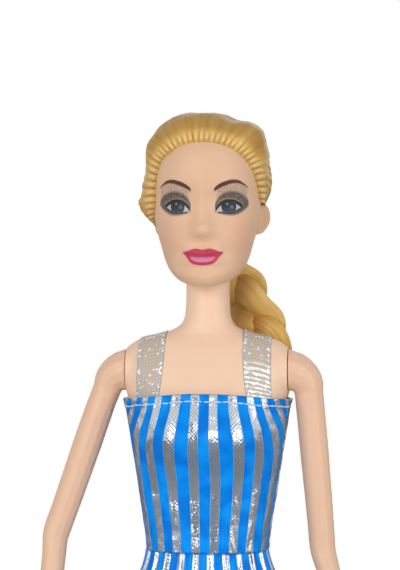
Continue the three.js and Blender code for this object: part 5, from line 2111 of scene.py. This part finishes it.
            def place(turn: float, height: float, side: Side = side) -> Vector:
                """The left half rises over the right one past the middle."""
                near = 0.0 if not 0 < turn < 0.5 else min(turn, 0.5 - turn)
                rise = mix(0.45, 1.3, smoothstep(height, self.waist - 2, self.waist - 14))
                lift = rise * smoothstep(near, 0.02, 0.0) if side is Side.LEFT else 0.0
                return self.skirt_point(turn, height, lift)

            node = f"skirt_{side.word}"
            piece = self.cloth_piece(f"{node}_cloth", turns, (self.waist, self.hem), place, (200, 110))
            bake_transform(piece)
            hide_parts(node)
            pieces.append(piece)
        return pieces


# Studio


@dataclass(frozen=True)
class Studio:
    """White paper round the doll, three lamps and the camera of the photograph, in metres."""

    # Each lamp's name, place, watts and width
    lamps: tuple[tuple[str, tuple[float, float, float], float, float], ...] = (
        ("key", (-0.42, -0.9, 0.45), 4.1, 0.35),
        ("fill", (0.72, -0.68, 0.42), 3.3, 0.6),
        ("rim", (0.1, 0.8, 0.6), 0.5, 0.5),
    )
    lit_height: float = 0.22
    paper_half_width: float = 3.0
    paper_glow: float = 0.62
    ambient: float = 0.4
    reflected: float = 0.9
    middle: tuple[float, float, float] = (-0.00178, 0.0, 0.2534)
    distance: float = 0.5
    degrees_aside: float = 5.0
    seen_height: float = 0.1376
    sensor_mm: float = 36.0

    def build(self) -> None:
        """Sets up everything that the doll stands in."""
        bpy.context.scene.view_settings.view_transform = "Standard"
        self.paper()
        self.room()
        self.light()
        self.camera()

    def paper(self) -> None:
        """The floor: white to the camera, and grey in reflections."""
        finish = bpy.data.materials.new("white_paper")
        finish.use_nodes = True
        tree = finish.node_tree
        sight = add_node(tree, "ShaderNodeLightPath")
        mirrored = Field(tree, sight.outputs["Is Glossy Ray"])
        look = {
            "Base Color": layered(tree, "#F4F4F4", [(mirrored, "#6E747C")]),
            "Roughness": 0.9,
            "Emission Color": "#FFFFFF",
            "Emission Strength": Field(tree, sight.outputs["Is Camera Ray"]) * self.paper_glow,
        }
        wire(tree, tree.nodes["Principled BSDF"], look)
        mesh = bmesh.new()
        bmesh.ops.create_grid(mesh, x_segments=1, y_segments=1, size=self.paper_half_width)
        to_object("studio_floor", mesh, finish)

    def room(self) -> None:
        """The world: white to the camera, and a plain dim light on the doll.

        The room behind the camera is darker than the paper round the doll, which only reflections show.
        """
        world = bpy.data.worlds.new("studio")
        bpy.context.scene.world = world
        world.use_nodes = True
        tree = world.node_tree
        rays = add_node(tree, "ShaderNodeLightPath")
        glossy = Field(tree, rays.outputs["Is Glossy Ray"])
        seen = Field(tree, rays.outputs["Is Camera Ray"]).math("MAXIMUM", glossy * self.reflected)
        where = add_node(tree, "ShaderNodeTexCoord").outputs["Generated"]
        split = add_node(tree, "ShaderNodeSeparateXYZ", {0: where})
        ahead, aloft = (Field(tree, split.outputs[k]) for k in (1, 2))
        dark = ahead.below(-0.8, 0.12) * aloft.below(0.74, 0.12) * glossy
        sky = layered(tree, "#FFFFFF", [(dark, "#414D5E")])
        wire(tree, tree.nodes["Background"], {0: sky, 1: seen * (1 - self.ambient) + self.ambient})

    def light(self) -> None:
        """Hangs the lamps and turns them to the doll."""
        target = Vector((0, 0, self.lit_height))
        for name, place, watts, width in self.lamps:
            lamp = bpy.data.lights.new(name, "AREA")
            lamp.energy, lamp.size = watts, width
            holder = bpy.data.objects.new(name, lamp)
            holder.location = place
            holder.rotation_euler = (target - Vector(place)).to_track_quat("-Z", "Y").to_euler()
            bpy.context.scene.collection.objects.link(holder)

    def camera(self) -> None:
        """Looks at the doll's upper half from a little to its left, as the photograph does."""
        lens = bpy.data.cameras.new("camera")
        eye = bpy.data.objects.new("camera", lens)
        bpy.context.scene.collection.objects.link(eye)
        aside, middle = math.radians(self.degrees_aside), Vector(self.middle)
        eye.location = middle + Vector((math.sin(aside), -math.cos(aside), 0)) * self.distance
        eye.rotation_euler = (middle - eye.location).to_track_quat("-Z", "Y").to_euler()
        lens.sensor_fit, lens.sensor_height = "VERTICAL", self.sensor_mm
        lens.lens = self.sensor_mm * self.distance / self.seen_height
        bpy.context.scene.camera = eye


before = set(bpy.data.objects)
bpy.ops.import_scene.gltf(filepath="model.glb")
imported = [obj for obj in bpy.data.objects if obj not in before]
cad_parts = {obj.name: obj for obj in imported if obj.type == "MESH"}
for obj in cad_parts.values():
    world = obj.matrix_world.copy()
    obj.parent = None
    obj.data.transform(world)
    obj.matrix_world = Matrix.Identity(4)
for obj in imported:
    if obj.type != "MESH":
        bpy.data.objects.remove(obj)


def main() -> None:
    """Builds the doll piece by piece around its frame."""
    logging.basicConfig(level=logging.INFO, format="%(message)s")
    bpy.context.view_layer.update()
    Studio().build()
    # Injection-moulded ABS body halves: satin like the soft parts, and a shade paler
    plastic = MouldedVinyl("moulded_body_plastic", "#EFC9AC", 0.48, mottle="#F0CCB0").build()
    # Soft moulded PVC arms and legs: satin, with light that sinks in
    vinyl = MouldedVinyl("soft_arm_vinyl", "#E4BA9B", 0.46, mottle="#E6BEA0").build()
    # Rotocast PVC head: the dullest skin, printed with the face
    face = PaintedFace("painted_head_vinyl", "#DEB493", 0.55, mottle="#E0B897").build()
    # Rooted polymer fibre combed flat: golden, with painted shade in the gaps between its tufts and over the
    # crown and further back, and painted highlights on the tufts' crests
    fibre = HairFibre("rooted_blond_fibre", "#C99B49", 0.4).build()
    # The same fibre in the plait, with painted shade where its strands come out from under one another
    plaited = {"shade": "#AE833C", "painted_crevice_shade": "#96561A", "contrast": 0.75, "fade": 0.0, "lay": Hair.braid_lay}
    plait = HairFibre("plaited_blond_fibre", "#DDB25E", 0.38, **plaited).build()
    # Wound elastic: matt loops in the colour of the hair
    elastic = WovenTrim("wound_elastic", "#C9A24A", 0.7).build()
    # Woven satin with printed foil: soft blue with painted sheen on its folds, beside mirror-like silver
    cloth = StripedFoil("foil_striped_satin", "#0AA2FF", 0.4).build()
    # Knitted mesh with glitter: a warm net that sparkles at its edges
    glitter = GlitterMesh("silver_glitter_mesh", "#C8B9AA", 0.42).build()
    # Spun thread and nylon tape: matt and white, and the thread takes on some blue
    thread = WovenTrim("pale_blue_thread", "#CFE6FA", 0.6).build()
    tape = WovenTrim("hook_and_loop_tape", "#EEF1F5", 0.8).build()
    # Soft plastic with pearl pigment: a silvery gloss
    pearl = Finish("pearl_shoe_plastic", "#C9CED6", 0.28, 0.2).build()
    # Drawn steel rod, and the unpainted plastic of the neck's plug
    axle = Finish("drawn_steel", "#B9BCC0", 0.35, 1.0).build()
    socket = Finish("moulded_plug_plastic", "#E4D6C4", 0.5).build()
    for node, finish in (("hip_axle", axle), ("neck_plug", socket)):
        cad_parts[node].data.materials.clear()
        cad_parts[node].data.materials.append(finish)

    shape = BodyShape()
    body = Body(shape, vinyl, plastic)
    pieces = body.torso()
    dress = Dress(shape, cloth, glitter, thread, tape)
    pieces += [body.arm(Side.LEFT, 5, 15), body.arm(Side.RIGHT, 19.6, 3)]
    for side in Side:
        pieces += [body.leg(side), body.shoe(side, pearl)]
    head = Head(face)
    pieces.append(head.build())
    hair = Hair(head, fibre, plait, elastic)
    pieces += [hair.combed(), hair.braid(), *hair.tail()]
    pieces += [*dress.bodice(), dress.stitches(), *dress.closure(), *dress.skirt()]
    pieces += [dress.strap(Side.LEFT, 12.1, 1.3), dress.strap(Side.RIGHT, 12.9, 0.9)]
    for piece in pieces:
        LOG.info("%s: %d faces", piece.name, len(piece.data.polygons))


if __name__ == "__main__":
    main()
